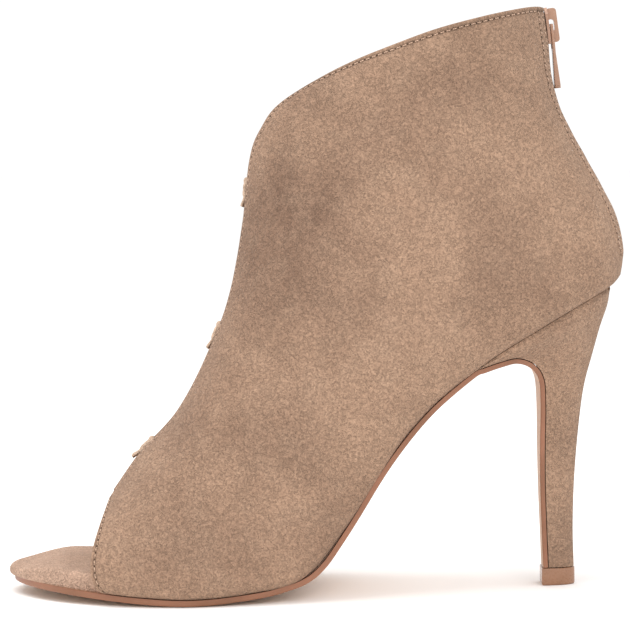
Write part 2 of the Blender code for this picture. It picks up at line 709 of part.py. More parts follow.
def join(kept, added):
    """Joins shapes that run into each other into one solid and leaves only that one."""
    for shape in added:
        cut = kept.modifiers.new("join", "BOOLEAN")
        cut.operation = "UNION"
        cut.solver = "EXACT"
        cut.object = shape
    bpy.context.view_layer.update()
    graph = bpy.context.evaluated_depsgraph_get()
    mesh = bpy.data.meshes.new_from_object(kept.evaluated_get(graph))
    kept.modifiers.clear()
    kept.data = mesh
    for shape in added:
        bpy.data.objects.remove(shape)


def make_pull(surface, collection, pivot):
    """The pull tab of the zip. Its own origin is on the axis that it swings about."""
    eye = PULL_EYE_LENGTH
    half = PULL_WIDTH / 2
    top = PULL_PIN / 2
    neck = -(eye + PULL_PIN)
    outer = [(half - 0.8 * MM, top), (half, top - 0.8 * MM), (half, neck + 2.0 * MM),
             (half * 0.62, neck - 1.0 * MM), (half * 0.72, -PULL_LENGTH + 1.2 * MM),
             (half * 0.5, -PULL_LENGTH)]
    outer = outer + [(-x, y) for x, y in reversed(outer)]
    inner_half = half - PULL_RIM
    inner = rounded(2 * inner_half, eye, inner_half * 0.5, middle=(0.0, -PULL_PIN / 2 - eye / 2))
    pull = flat_piece("zip_pull", [outer, inner], PULL_PIN, 0.3 * MM, surface, collection)
    for vertex in pull.data.vertices:
        share = max(0.0, (neck - vertex.co.y) / (PULL_LENGTH + neck))
        vertex.co.z *= 1 + (PULL_END_THICKNESS / PULL_PIN - 1) * min(1.0, share)
    pull.data.transform(Matrix(((0, 0, 1, 0), (1, 0, 0, 0), (0, 1, 0, 0), (0, 0, 0, 1))))
    pull.location = pivot
    pull.rotation_euler = (0, -math.radians(PULL_LEAN), 0)
    return pull


def slit_point(height):
    """The middle of the slit at a height over the floor and the way up it, both as (x, z)."""
    u = np.linspace(0, BACK, 400)
    edge = upper_row(1.0, u)
    k = int(np.argmax(edge[:, 2] > height))
    up = edge[k + 4] - edge[k - 4]
    return edge[k, [0, 2]], unit(up[[0, 2]])


def wall_drop(point, up, across):
    """How far the upper falls away from the slit's edge at distances across it, level with a point."""
    u = np.linspace(0, BACK, 240)
    sheet = np.vstack([upper_row(v, u) for v in np.linspace(0.8, 1.0, 90)])
    beside = sheet[:, [0, 2]] - point
    level = np.abs(beside @ up) < 0.4 * MM
    out = beside[level] @ np.array([-up[1], up[0]])
    y = np.abs(sheet[level, 1])
    order = np.argsort(y)
    return np.interp(across, y[order], out[order])


def band_rings(point, up):
    """Sections of the band of a tie, across the slit from inside one wall to inside the other."""
    rings = []
    hidden = -(UPPER_WALL * TIE_SLANT + TIE_GAP + TIE_THICKNESS / 2)
    bend = SLIT_GAP / 2 - 1.0 * MM
    for y in np.linspace(-1, 1, 15) * (SLIT_GAP / 2 + TIE_REACH):
        arch = math.cos(math.pi / 2 * min(abs(y) / bend, 1.0)) ** 2
        drop = wall_drop(point, up, max(abs(y), SLIT_GAP / 2 + 0.1 * MM))
        out = hidden + arch * TIE_RISE + drop
        rings.append([(out + dx * TIE_THICKNESS / 2, y, dz * TIE_WIDTH / 2)
                      for dx, dz in ((-1, -1), (1, -1), (1, 1), (-1, 1))])
    return rings


def tail_rings(side):
    """Sections of one tail of a tie, from inside the knot down to its cut end."""
    rings = []
    for share in np.linspace(0, 1, 6):
        out = 0.7 * MM + 0.9 * MM * share**2
        y = side * (0.9 * MM + 1.0 * MM * share)
        z = -1.5 * MM - (KNOT_LENGTH / 2 + TAIL_LENGTH - 1.5 * MM) * share
        rings.append([(out + dx * TIE_THICKNESS / 2, y + dy * TAIL_WIDTH / 2, z)
                      for dx, dy in ((-1, -1), (1, -1), (1, 1), (-1, 1))])
    return rings


def make_tie(name, height, surface, collection, scraps):
    """A tie across the slit: a band held inside the walls, a knot in the slit and two tails."""
    (x, z), up = slit_point(height)
    tie = loft(name, band_rings(np.array([x, z]), up), surface, collection)
    knot_mesh = bpy.data.meshes.new(name + "_knot")
    ball = bmesh.new()
    bmesh.ops.create_uvsphere(ball, u_segments=16, v_segments=10, radius=0.5)
    bmesh.ops.scale(ball, vec=(KNOT_DEPTH, KNOT_WIDTH, KNOT_LENGTH), verts=ball.verts)
    bmesh.ops.translate(ball, vec=(KNOT_OUT, 0, 0), verts=ball.verts)
    ball.to_mesh(knot_mesh)
    ball.free()
    knot = bpy.data.objects.new(name + "_knot", knot_mesh)
    knot_mesh.materials.append(surface)
    scraps.objects.link(knot)
    tails = [loft(name + "_tail", tail_rings(side), surface, scraps) for side in (LATERAL, MEDIAL)]
    join(tie, [knot, *tails])
    smooth(tie, 50)
    tie.matrix_world = frame_matrix(Vector((x, 0, z)), (-up[1], up[0]), up)
    return tie


def stand_at_origin(boot):
    """Moves the boot so that the middle of its box is over the origin."""
    root = bpy.data.objects.new("ankle_boot_root", None)
    boot.objects.link(root)
    for made in boot.objects:
        if made is not root and made.parent is None:
            made.parent = root
    bpy.context.view_layer.update()
    corners = np.vstack([np.array([o.matrix_world @ v.co for v in o.data.vertices])
                         for o in boot.objects if o.type == "MESH"])
    middle = (corners.min(0) + corners.max(0)) / 2
    root.location = (-middle[0], -middle[1], 0)


def main():
    """Builds the boot."""
    for made in list(bpy.data.objects):
        bpy.data.objects.remove(made)
    boot = bpy.data.collections.new("ankle_boot")
    bpy.context.scene.collection.children.link(boot)
    scraps = bpy.data.collections.new("shapes_joined")
    bpy.context.scene.collection.children.link(scraps)
    suede = material("suede", (0.42, 0.29, 0.21), 0.95)
    rubber = material("sole_rubber", (0.33, 0.15, 0.08), 0.45)
    textile = material("zip_cloth", (0.30, 0.21, 0.15), 0.9)
    nylon = material("zip_nylon", (0.10, 0.06, 0.045), 0.5)
    metal = material("painted_zinc", (0.55, 0.38, 0.29), 0.4, 0.3)
    lace = material("lace_suede", (0.62, 0.48, 0.38), 0.9)
    make_upper(suede, boot)
    make_insole(suede, boot)
    make_outsole(rubber, boot)
    make_heel(suede, boot)
    make_heel_tip(rubber, boot)
    make_zip_tape(textile, boot)
    make_zip_coil(nylon, boot)
    _, pivot = make_slider(metal, boot)
    make_pull(metal, boot, pivot)
    for name, share in TIE_HEIGHTS.items():
        make_tie(name, share * (HEEL_HEIGHT + SHAFT_HEIGHT), lace, boot, scraps)
    stand_at_origin(boot)


main()
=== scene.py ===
"""Peep-toe ankle boot in brushed microfibre suede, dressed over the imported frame.

The boot stands on a pale studio floor. Lengths are in metres, the toe points to -X, the lateral side
is -Y and +Z is up, as in the frame. Every surface is a function of two parameters on a numpy grid.
"""

import logging
import math
from dataclasses import dataclass, field
from enum import Enum
from typing import Iterable, Sequence

import bmesh
import bpy
import numpy as np
from mathutils import Matrix, Vector


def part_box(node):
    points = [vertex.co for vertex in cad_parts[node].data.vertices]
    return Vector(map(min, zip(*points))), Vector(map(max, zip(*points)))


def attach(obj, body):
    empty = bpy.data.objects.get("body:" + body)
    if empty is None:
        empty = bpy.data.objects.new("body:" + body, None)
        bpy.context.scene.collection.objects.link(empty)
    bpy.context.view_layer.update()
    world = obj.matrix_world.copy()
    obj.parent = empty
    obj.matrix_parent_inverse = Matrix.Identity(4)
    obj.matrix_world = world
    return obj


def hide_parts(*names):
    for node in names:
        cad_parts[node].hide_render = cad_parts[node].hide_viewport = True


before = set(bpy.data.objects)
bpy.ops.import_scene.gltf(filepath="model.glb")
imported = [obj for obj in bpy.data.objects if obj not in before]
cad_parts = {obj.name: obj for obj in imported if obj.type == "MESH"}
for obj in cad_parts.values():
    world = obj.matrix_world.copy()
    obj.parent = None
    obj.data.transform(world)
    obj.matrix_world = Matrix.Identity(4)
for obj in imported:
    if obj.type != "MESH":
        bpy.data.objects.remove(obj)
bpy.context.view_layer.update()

LOG = logging.getLogger("ankle_boot")
MM = 0.001
Array = np.ndarray
Colour = tuple[float, float, float, float]
# the attribute that holds how far the suede is darkened beside stitches, from 0 to 1: partly the nap pressed
# down, partly painted shade in the stitch grooves
NAP_AND_GROOVE_SHADE = "nap_and_groove_shade"


class Side(Enum):
    """The two sides of a left boot, as signs of Y."""

    LATERAL = -1
    MEDIAL = 1


# Curves and grids


def unit(vectors: Array) -> Array:
    """Returns vectors divided by their own lengths."""
    return vectors / np.maximum(np.linalg.norm(vectors, axis=-1, keepdims=True), 1e-12)


def cubic(p0: Array, p1: Array, p2: Array, p3: Array, s: Array) -> Array:
    """Walks the Catmull-Rom cubic, whose slope at a point is half the step between its neighbours.

    Args:
        p0: the control point before the stretch.
        p1: the stretch's start.
        p2: the stretch's end.
        p3: the control point after it.
        s: shares of the stretch, from 0 to 1.

    Returns:
        The points at those shares.
    """
    bend = 2 * p0 - 5 * p1 + 4 * p2 - p3
    twist = 3 * p1 - p0 - 3 * p2 + p3
    return 0.5 * (2 * p1 + (p2 - p0) * s + bend * s**2 + twist * s**3)


def catmull(points: Array, t: Array) -> Array:
    """Walks the smooth curve through a row of control points.

    The row is carried one point past each end in a straight line.

    Args:
        points: control points along the second last axis, shape (..., n, k).
        t: where to read the curve, counted in control points from 0.

    Returns:
        The curve's points, shape (..., len(t), k).
    """
    points = np.asarray(points, float)
    first = 2 * points[..., :1, :] - points[..., 1:2, :]
    last = 2 * points[..., -1:, :] - points[..., -2:-1, :]
    row = np.concatenate([first, points, last], axis=-2)
    count = points.shape[-2]
    t = np.clip(np.atleast_1d(np.asarray(t, float)), 0, count - 1)
    i = np.minimum(t.astype(int), count - 2)
    near = [row[..., i + k, :] for k in range(4)]
    return cubic(*near, (t - i)[:, None])


def ease(x: Array, xs: Sequence[float], ys: Sequence[float]) -> Array:
    """Reads a curve through points that never overshoots them and is level at both ends.

    Args:
        x: where to read it.
        xs: the points' places, rising.
        ys: the points' values.

    Returns:
        The curve's values at x.
    """
    xs, ys = np.asarray(xs, float), np.asarray(ys, float)
    step = np.diff(ys) / np.diff(xs)
    slope = np.zeros(len(xs))
    inner = step[:-1] * step[1:] > 0
    slope[1:-1][inner] = 2 * step[:-1][inner] * step[1:][inner] / (step[:-1][inner] + step[1:][inner])
    i = np.clip(np.searchsorted(xs, x) - 1, 0, len(xs) - 2)
    width = xs[i + 1] - xs[i]
    s = (x - xs[i]) / width
    rise = s * s * (3 - 2 * s)
    start = s * (1 - s) ** 2 * width * slope[i]
    end = s * s * (s - 1) * width * slope[i + 1]
    return ys[i] + (ys[i + 1] - ys[i]) * rise + start + end


def side_normals(line: Array) -> Array:
    """Returns the normals of a line in the X-Z plane, on its upper side where it runs to +X."""
    along = unit(np.gradient(line, axis=0))
    return np.stack([-along[:, 1], along[:, 0]], 1)


def ripple(points: Array, wavelength: float, seed: int) -> Array:
    """A smooth random field from -1 to 1: the mean of eight plane waves turned at random.

    Args:
        points: places, shape (..., 3).
        wavelength: the middle wavelength of the waves, in metres.
        seed: picks the waves.

    Returns:
        The field's values, shape (...).
    """
    rng = np.random.default_rng(seed)
    total = np.zeros(points.shape[:-1])
    for _ in range(8):
        way = rng.normal(size=3)
        way *= 2 * math.pi / (wavelength * rng.uniform(0.7, 1.5)) / np.linalg.norm(way)
        total += np.sin(points @ way + rng.uniform(0, 2 * math.pi))
    return total / 4


def grid_faces(rows: int, columns: int, wrap: bool = False) -> Array:
    """Numbers the quads of a grid whose points are counted row by row.

    Args:
        rows: rows of points.
        columns: points in each row.
        wrap: whether the last column is joined to the first.

    Returns:
        The quads, shape (n, 4).
    """
    i = np.arange(rows - 1)[:, None] * columns
    last = columns if wrap else columns - 1
    j = np.arange(last)[None, :]
    k = (j + 1) % columns
    quads = np.stack([i + j, i + k, i + columns + k, i + columns + j], -1)
    return quads.reshape(-1, 4)


def mesh_piece(name: str, points: Array, faces: Iterable, smooth: float = 50.0) -> bpy.types.Object:
    """Makes a mesh object with its place in its mesh.

    Args:
        name: the piece's name.
        points: vertices, shape (n, 3).
        faces: index lists.
        smooth: the angle in degrees over which an edge stays sharp.

    Returns:
        The object, linked into the scene.
    """
    mesh = bpy.data.meshes.new(name)
    mesh.from_pydata(np.asarray(points, float).tolist(), [], [list(map(int, f)) for f in faces])
    mesh.validate()
    mesh.shade_smooth()
    mesh.set_sharp_from_angle(angle=math.radians(smooth))
    made = bpy.data.objects.new(name, mesh)
    bpy.context.scene.collection.objects.link(made)
    return made


def crossing(field: Array, level: Array | float) -> Array:
    """Finds where each column of a field that falls down its rows passes a level.

    Args:
        field: the values, shape (rows, columns).
        level: one level, or one for each column.

    Returns:
        Row numbers, which may fall between two rows, shape (columns,).
    """
    level = np.broadcast_to(level, field.shape[1:])
    after = np.clip(np.argmax(field <= level, axis=0), 1, len(field) - 1)
    high = np.take_along_axis(field, after[None] - 1, 0)[0]
    low = np.take_along_axis(field, after[None], 0)[0]
    return after - 1 + np.clip((high - level) / np.maximum(high - low, 1e-12), 0, 1)


def read_rows(grid: Array, rank: Array) -> Array:
    """Reads each column of a grid at a row number that may fall between two rows.

    Args:
        grid: points, shape (rows, columns, 3).
        rank: a row number for each column.

    Returns:
        The points, shape (columns, 3).
    """
    low = np.minimum(rank.astype(int), len(grid) - 2)
    share = (rank - low)[:, None]
    column = np.arange(grid.shape[1])
    return grid[low, column] * (1 - share) + grid[low + 1, column] * share


def edge_distance(grid: Array, axis: int, from_end: bool) -> Array:
    """Measures the way over a grid from its first or last row, or column.

    Args:
        grid: points, shape (rows, columns, 3).
        axis: 0 to walk along the columns, 1 to walk along the rows.
        from_end: whether the walk starts at the far end.

    Returns:
        The distances, shape (rows, columns).
    """
    steps = np.linalg.norm(np.diff(grid, axis=axis), axis=-1)
    walked = np.cumsum(steps, axis=axis)
    walked = np.concatenate([np.zeros_like(np.take(walked, [0], axis)), walked], axis)
    return np.take(walked, [-1], axis) - walked if from_end else walked


def walled_sheet(name: str, outer: Array, normals: Array, thickness: float,
                 steps: int = 6) -> bpy.types.Object:
    """Makes a sheet of material with a half-round edge from the grid of its outer face.

    The inner face lies a thickness under the outer one. Round the rim runs a half circle from the
    one to the other, in the plane of the normal and the way out of the sheet.

    Args:
        name: the piece's name.
        outer: points of the outer face, shape (rows, columns, 3).
        normals: its outward normals.
        thickness: the thickness of the sheet.
        steps: faces across the rim.

    Returns:
        The closed sheet.
    """
    rows, columns, _ = outer.shape
    number = np.arange(rows * columns).reshape(rows, columns)
    loop = np.concatenate([number[0, :-1], number[:-1, -1], number[-1, :0:-1], number[:0:-1, 0]])
    edge, out = outer.reshape(-1, 3)[loop], normals.reshape(-1, 3)[loop]
    tangent = unit(np.roll(edge, -1, 0) - np.roll(edge, 1, 0))
    away = unit(np.cross(tangent, out))
    turn = (np.arange(1, steps) * math.pi / steps)[:, None, None]
    rim = edge + thickness / 2 * (out * (np.cos(turn) - 1) + away * np.sin(turn))
    count = rows * columns
    points = np.concatenate([outer.reshape(-1, 3), (outer - thickness * normals).reshape(-1, 3),
                             rim.reshape(-1, 3)])
    bands = [loop, *(2 * count + np.arange(len(loop)) + k * len(loop) for k in range(steps - 1)),
             loop + count]
    face = grid_faces(rows, columns)
    strips = [np.stack([a, b, np.roll(b, -1), np.roll(a, -1)], 1) for a, b in zip(bands[:-1], bands[1:])]
    return mesh_piece(name, points, np.concatenate([face, face[:, ::-1] + count, *strips]), 60)


def outward(piece: bpy.types.Object) -> bpy.types.Object:
    """Turns the faces of a closed piece outwards after merging its doubles.

    Args:
        piece: the piece.

    Returns:
        The same piece.
    """
    edit = bmesh.new()
    edit.from_mesh(piece.data)
    bmesh.ops.remove_doubles(edit, verts=edit.verts, dist=1e-7)
    bmesh.ops.recalc_face_normals(edit, faces=edit.faces)
    edit.to_mesh(piece.data)
    edit.free()
    return piece


def closed_loft(name: str, rings: Array, smooth: float = 50.0) -> bpy.types.Object:
    """Makes a closed solid through rings, with a fan of faces at each end.

    Args:
        name: the piece's name.
        rings: points, shape (rings, points of a ring, 3).
        smooth: the angle in degrees over which an edge stays sharp.

    Returns:
        The solid.
    """
    count, each, _ = rings.shape
    points = np.concatenate([rings.reshape(-1, 3), [rings[0].mean(0)], [rings[-1].mean(0)]])
    faces = grid_faces(count, each, wrap=True).tolist()
    around = np.arange(each)
    after = (around + 1) % each
    faces += np.stack([np.full(each, count * each), after, around], 1).tolist()
    base = (count - 1) * each
    faces += np.stack([np.full(each, count * each + 1), base + around, base + after], 1).tolist()
    return outward(mesh_piece(name, points, faces, smooth))


def join_pieces(name: str, pieces: list[bpy.types.Object]) -> bpy.types.Object:
    """Joins mesh pieces that sit at the origin.

    Args:
        name: the joined piece's name.
        pieces: the pieces, which are removed.

    Returns:
        The joined piece.
    """
    edit = bmesh.new()
    for piece in pieces:
        edit.from_mesh(piece.data)
    mesh = bpy.data.meshes.new(name)
    edit.to_mesh(mesh)
    edit.free()
    for piece in pieces:
        bpy.data.objects.remove(piece)
    mesh.shade_smooth()
    mesh.set_sharp_from_angle(angle=math.radians(50))
    made = bpy.data.objects.new(name, mesh)
    bpy.context.scene.collection.objects.link(made)
    return made


# Finishes


def linear(code: str) -> Colour:
    """Turns an sRGB hex colour into linear values.

    Args:
        code: the colour, such as "#c0a080".

    Returns:
        Linear red, green and blue, and an alpha of one.
    """
    parts = np.array([int(code[k:k + 2], 16) for k in (1, 3, 5)]) / 255
    value = np.where(parts <= 0.04045, parts / 12.92, ((parts + 0.055) / 1.055) ** 2.4)
    return (*map(float, value), 1.0)


def add_node(tree: bpy.types.NodeTree, kind: str, inputs: dict | None = None, **settings) -> bpy.types.Node:
    """Adds a node with its settings, and sets or links its inputs.

    Args:
        tree: the material's node tree.
        kind: the node's type, such as "ShaderNodeBump".
        inputs: socket name or index to a value, or to the socket that feeds it.
        settings: attributes of the node.

    Returns:
        The node.
    """
    made = tree.nodes.new(kind)
    for key, value in settings.items():
        setattr(made, key, value)
    for key, value in (inputs or {}).items():
        if isinstance(value, bpy.types.NodeSocket):
            tree.links.new(value, made.inputs[key])
        else:
            made.inputs[key].default_value = value
    return made


def per_metre(size_mm: float) -> float:
    """Returns the pattern scale that gives features of a size in millimetres."""
    return 1000.0 / size_mm


def blank(name: str) -> tuple[bpy.types.Material, bpy.types.NodeTree, bpy.types.Node]:
    """Makes a material with nodes.

    Args:
        name: the material's name.

    Returns:
        The material, its node tree and its surface shader.
    """
    made = bpy.data.materials.new(name)
    made.use_nodes = True
    tree = made.node_tree
    return made, tree, tree.nodes["Principled BSDF"]


def blend_colours(tree: bpy.types.NodeTree, share: bpy.types.NodeSocket,
                  low: bpy.types.NodeSocket | Colour, high: Colour) -> bpy.types.NodeSocket:
    """Mixes two colours, from low at a share of 0 to high at 1."""
    mixed = add_node(tree, "ShaderNodeMix", {0: share, 6: low, 7: high}, data_type="RGBA")
    return mixed.outputs[2]


def spread(tree: bpy.types.NodeTree, value: bpy.types.NodeSocket, low: float, high: float,
           to_low: float = 0.0, to_high: float = 1.0) -> bpy.types.NodeSocket:
    """Maps a value from one range to another, held at the ends."""
    done = add_node(tree, "ShaderNodeMapRange", {"Value": value, "From Min": low, "From Max": high,
                                                 "To Min": to_low, "To Max": to_high})
    return done.outputs["Result"]


@dataclass(frozen=True)
class TonePatch:
    """A patch where the suede is darker or lighter, a patch of the nap in some places and painted shade
    and painted highlight in others: its middle and its reach on X and Z in the row frame, and how far
    it goes towards the dark colour, or below zero towards the light one."""

    x: float
    z: float
    reach_x: float
    reach_z: float
    lean: float
    depth: float


@dataclass(frozen=True)
class BrushedSuede:
    """Microfibre suede: polyurethane bound microfibre, brushed so that its nap lies in patches.

    The eye sees a matt cloth with cloudy light and dark strokes where the nap turns, a fine crinkled
    grain about a millimetre across, and a faint bloom where it curves away. Listed patches make it
    darker or lighter in places, some of them painted shade and painted highlight. Where a piece has
    the attribute of pressed nap and groove shade, as beside stitches, it is darker: partly the nap
    pressed down, partly painted shade in the stitch grooves.
    """

    name: str
    light: str
    middle: str
    dark: str
    stroke_mm: float = 30.0
    mottle_mm: float = 9.0
    crinkle_mm: float = 1.5
    crinkle_bands: float = 0.17
    fibre_mm: float = 0.6
    relief_mm: float = 0.45
    cloudiness: float = 0.42
    # how dark the suede gets beside stitches: partly pressed nap, partly painted shade in the grooves
    nap_and_groove_shade_tone: float = 0.5
    marks: tuple[TonePatch, ...] = ()

    def make(self) -> bpy.types.Material:
        """Builds the material.

        Returns:
            The material.
        """
        made, tree, surface = blank(self.name)
        where = add_node(tree, "ShaderNodeTexCoord").outputs["Object"]
        strokes = add_node(tree, "ShaderNodeTexNoise", {
            "Vector": where, "Scale": per_metre(self.stroke_mm), "Detail": 2.0, "Roughness": 0.5,
            "Distortion": 0.5}).outputs["Fac"]
        mottle = add_node(tree, "ShaderNodeTexNoise", {
            "Vector": where, "Scale": per_metre(self.mottle_mm), "Detail": 2.0}).outputs["Fac"]
        swirl = add_node(tree, "ShaderNodeTexNoise", {
            "Vector": where, "Scale": per_metre(self.crinkle_mm), "Detail": 1.5, "Roughness": 0.6,
            "Distortion": 0.9}).outputs["Fac"]
        # folding the noise back on itself draws its level lines, which look like crinkled nap
        crinkle = add_node(tree, "ShaderNodeMath", {0: swirl, 1: self.crinkle_bands},
                           operation="PINGPONG").outputs[0]
        crinkle = spread(tree, crinkle, 0.0, self.crinkle_bands)
        fibre = add_node(tree, "ShaderNodeTexNoise", {
            "Vector": where, "Scale": per_metre(self.fibre_mm), "Detail": 2.0}).outputs["Fac"]
        cloud = spread(tree, strokes, 0.34, 0.66, 1.0, 1.0 - self.cloudiness)
        for mark in self.marks:
            cloud = self.stroke(tree, where, cloud, mark)
        base = blend_colours(tree, cloud, linear(self.dark), linear(self.middle))
        base = blend_colours(tree, spread(tree, mottle, 0.45, 0.75, 0.0, 0.2), base, linear(self.light))
        shade = spread(tree, crinkle, 0.1, 0.9, 0.76, 0.99)
        dust = spread(tree, fibre, 0.34, 0.66, 0.82, 1.16)
        tone = add_node(tree, "ShaderNodeMath", {0: shade, 1: dust}, operation="MULTIPLY").outputs[0]
        # darker beside stitches: partly the nap pressed down, partly painted shade in the stitch grooves
        nap_and_groove_shade = add_node(tree, "ShaderNodeAttribute", attribute_name=NAP_AND_GROOVE_SHADE).outputs["Fac"]
        nap_and_groove_darkening = spread(tree, nap_and_groove_shade, 0.0, 1.0, 1.0, self.nap_and_groove_shade_tone)
        tone = add_node(tree, "ShaderNodeMath", {0: tone, 1: nap_and_groove_darkening}, operation="MULTIPLY").outputs[0]
        toned = add_node(tree, "ShaderNodeVectorMath", {0: base, "Scale": tone},
                         operation="SCALE").outputs[0]
        tree.links.new(toned, surface.inputs["Base Color"])
        height = add_node(tree, "ShaderNodeMath", {0: fibre, 1: 0.7, 2: crinkle},
                          operation="MULTIPLY_ADD").outputs[0]
        bump = add_node(tree, "ShaderNodeBump", {"Height": height, "Strength": 0.8,
                                                 "Distance": self.relief_mm * MM}).outputs[0]
        tree.links.new(bump, surface.inputs["Normal"])
        surface.inputs["Roughness"].default_value = 0.94
        surface.inputs["Specular IOR Level"].default_value = 0.15
        surface.inputs["Sheen Weight"].default_value = 0.12
        surface.inputs["Sheen Roughness"].default_value = 0.5
        surface.inputs["Sheen Tint"].default_value = linear("#eadccf")
        return made

    @staticmethod
    def stroke(tree: bpy.types.NodeTree, where: bpy.types.NodeSocket, cloud: bpy.types.NodeSocket,
               mark: TonePatch) -> bpy.types.NodeSocket:
        """Works one patch into the share of the middle colour.

        Args:
            tree: the material's tree.
            where: the object coordinates.
            cloud: the share so far.
            mark: the patch.

        Returns:
            The new share.
        """
        centred = add_node(tree, "ShaderNodeVectorMath", {0: where, 1: (mark.x, 0.0, mark.z)},
                           operation="SUBTRACT").outputs[0]
        turned = add_node(tree, "ShaderNodeMapping", {
            "Vector": centred, "Rotation": (0.0, math.radians(mark.lean), 0.0)}).outputs[0]
        shrunk = add_node(tree, "ShaderNodeVectorMath", {
            0: turned, 1: (1 / mark.reach_x, 0.0, 1 / mark.reach_z)}, operation="MULTIPLY").outputs[0]
        ball = add_node(tree, "ShaderNodeTexGradient", {"Vector": shrunk}, gradient_type="SPHERICAL")
        soft = add_node(tree, "ShaderNodeMapRange", {"Value": ball.outputs["Fac"], "From Max": 0.75,
                                                     "To Max": mark.depth}, interpolation_type="SMOOTHSTEP")
        return add_node(tree, "ShaderNodeMath", {0: cloud, 1: soft.outputs["Result"]}, operation="SUBTRACT",
                        use_clamp=mark.depth > 0).outputs[0]


@dataclass(frozen=True)
class CoatedLining:
    """Lining of knitted cloth with a thin polyurethane skin, pressed with a faint pore."""

    name: str
    colour: str
    pore_mm: float = 0.9
    cloud_mm: float = 18.0

    def make(self) -> bpy.types.Material:
        """Builds the material.

        Returns:
            The material.
        """
        made, tree, surface = blank(self.name)
        where = add_node(tree, "ShaderNodeTexCoord").outputs["Object"]
        pore = add_node(tree, "ShaderNodeTexVoronoi", {"Vector": where, "Scale": per_metre(self.pore_mm)})
        cloud = add_node(tree, "ShaderNodeTexNoise", {
            "Vector": where, "Scale": per_metre(self.cloud_mm), "Detail": 2.0})
        low = spread(tree, cloud.outputs["Fac"], 0.3, 0.7, 0.92, 1.04)
        toned = add_node(tree, "ShaderNodeVectorMath", {0: linear(self.colour)[:3], "Scale": low},
                         operation="SCALE").outputs[0]
        tree.links.new(toned, surface.inputs["Base Color"])
        bump = add_node(tree, "ShaderNodeBump", {"Height": pore.outputs["Distance"], "Strength": 0.35,
                                                 "Distance": 0.08 * MM}).outputs[0]
        tree.links.new(bump, surface.inputs["Normal"])
        surface.inputs["Roughness"].default_value = 0.6
        return made


@dataclass(frozen=True)
class SoleSheet:
    """Sheet of synthetic rubber: skived, its edge stained and waxed, so it shows a low satin gloss."""

    name: str
    colour: str
    worn: str
    roughness: float
    streak_mm: float = 9.0
    grit_mm: float = 0.7

    def make(self) -> bpy.types.Material:
        """Builds the material.

        Returns:
            The material.
        """
        made, tree, surface = blank(self.name)
        where = add_node(tree, "ShaderNodeTexCoord").outputs["Object"]
        long_way = add_node(tree, "ShaderNodeMapping", {
            "Vector": where, "Scale": (0.35, 1.0, 0.6)}).outputs[0]
        streak = add_node(tree, "ShaderNodeTexNoise", {
            "Vector": long_way, "Scale": per_metre(self.streak_mm), "Detail": 4.0}).outputs["Fac"]
        grit = add_node(tree, "ShaderNodeTexNoise", {
            "Vector": where, "Scale": per_metre(self.grit_mm), "Detail": 2.0}).outputs["Fac"]
        tone = blend_colours(tree, spread(tree, streak, 0.35, 0.68), linear(self.colour), linear(self.worn))
        tree.links.new(tone, surface.inputs["Base Color"])
        rough = spread(tree, grit, 0.3, 0.7, self.roughness - 0.06, self.roughness + 0.1)
        tree.links.new(rough, surface.inputs["Roughness"])
        bump = add_node(tree, "ShaderNodeBump", {"Height": grit, "Strength": 0.3,
                                                 "Distance": 0.06 * MM}).outputs[0]
        tree.links.new(bump, surface.inputs["Normal"])
        return made


@dataclass(frozen=True)
class MouldedPlastic:
    """Moulded thermoplastic with a few hairline scuffs: glossy on the heel tip, satin on the coil."""

    name: str
    colour: str
    scuffed: str
    roughness: float
    coat: float
    flow_mm: float = 5.0
    hair_mm: float = 0.8

    def make(self) -> bpy.types.Material:
        """Builds the material.

        Returns:
            The material.
        """
        made, tree, surface = blank(self.name)
        where = add_node(tree, "ShaderNodeTexCoord").outputs["Object"]
        flow = add_node(tree, "ShaderNodeTexNoise", {
            "Vector": where, "Scale": per_metre(self.flow_mm), "Detail": 3.0})
        tone = blend_colours(tree, spread(tree, flow.outputs["Fac"], 0.4, 0.7), linear(self.colour),
                             linear(self.scuffed))
        tree.links.new(tone, surface.inputs["Base Color"])
        hair = add_node(tree, "ShaderNodeTexNoise", {
            "Vector": where, "Scale": per_metre(self.hair_mm), "Detail": 2.0})
        rough = spread(tree, hair.outputs["Fac"], 0.35, 0.7, self.roughness, self.roughness + 0.12)
        tree.links.new(rough, surface.inputs["Roughness"])
        surface.inputs["Coat Weight"].default_value = self.coat
        surface.inputs["Coat Roughness"].default_value = 0.12
        return made


@dataclass(frozen=True)
class PaintedZinc:
    """Die-cast zinc under a coat of satin paint: smooth, a little orange peel, soft highlights."""

    name: str
    colour: str
    rubbed: str
    peel_mm: float = 1.6
    rub_mm: float = 3.0

    def make(self) -> bpy.types.Material:
        """Builds the material.

        Returns:
            The material.
        """
        made, tree, surface = blank(self.name)
        where = add_node(tree, "ShaderNodeTexCoord").outputs["Object"]
        peel = add_node(tree, "ShaderNodeTexNoise", {
            "Vector": where, "Scale": per_metre(self.peel_mm), "Detail": 1.0})
        rub = add_node(tree, "ShaderNodeTexNoise", {
            "Vector": where, "Scale": per_metre(self.rub_mm), "Detail": 3.0})
        tone = blend_colours(tree, spread(tree, rub.outputs["Fac"], 0.55, 0.75), linear(self.colour),
                             linear(self.rubbed))
        tree.links.new(tone, surface.inputs["Base Color"])
        bump = add_node(tree, "ShaderNodeBump", {"Height": peel.outputs["Fac"], "Strength": 0.2,
                                                 "Distance": 0.05 * MM}).outputs[0]
        tree.links.new(bump, surface.inputs["Normal"])
        surface.inputs["Roughness"].default_value = 0.3
        surface.inputs["Metallic"].default_value = 0.15
        surface.inputs["Coat Weight"].default_value = 0.5
        surface.inputs["Coat Roughness"].default_value = 0.15
        return made


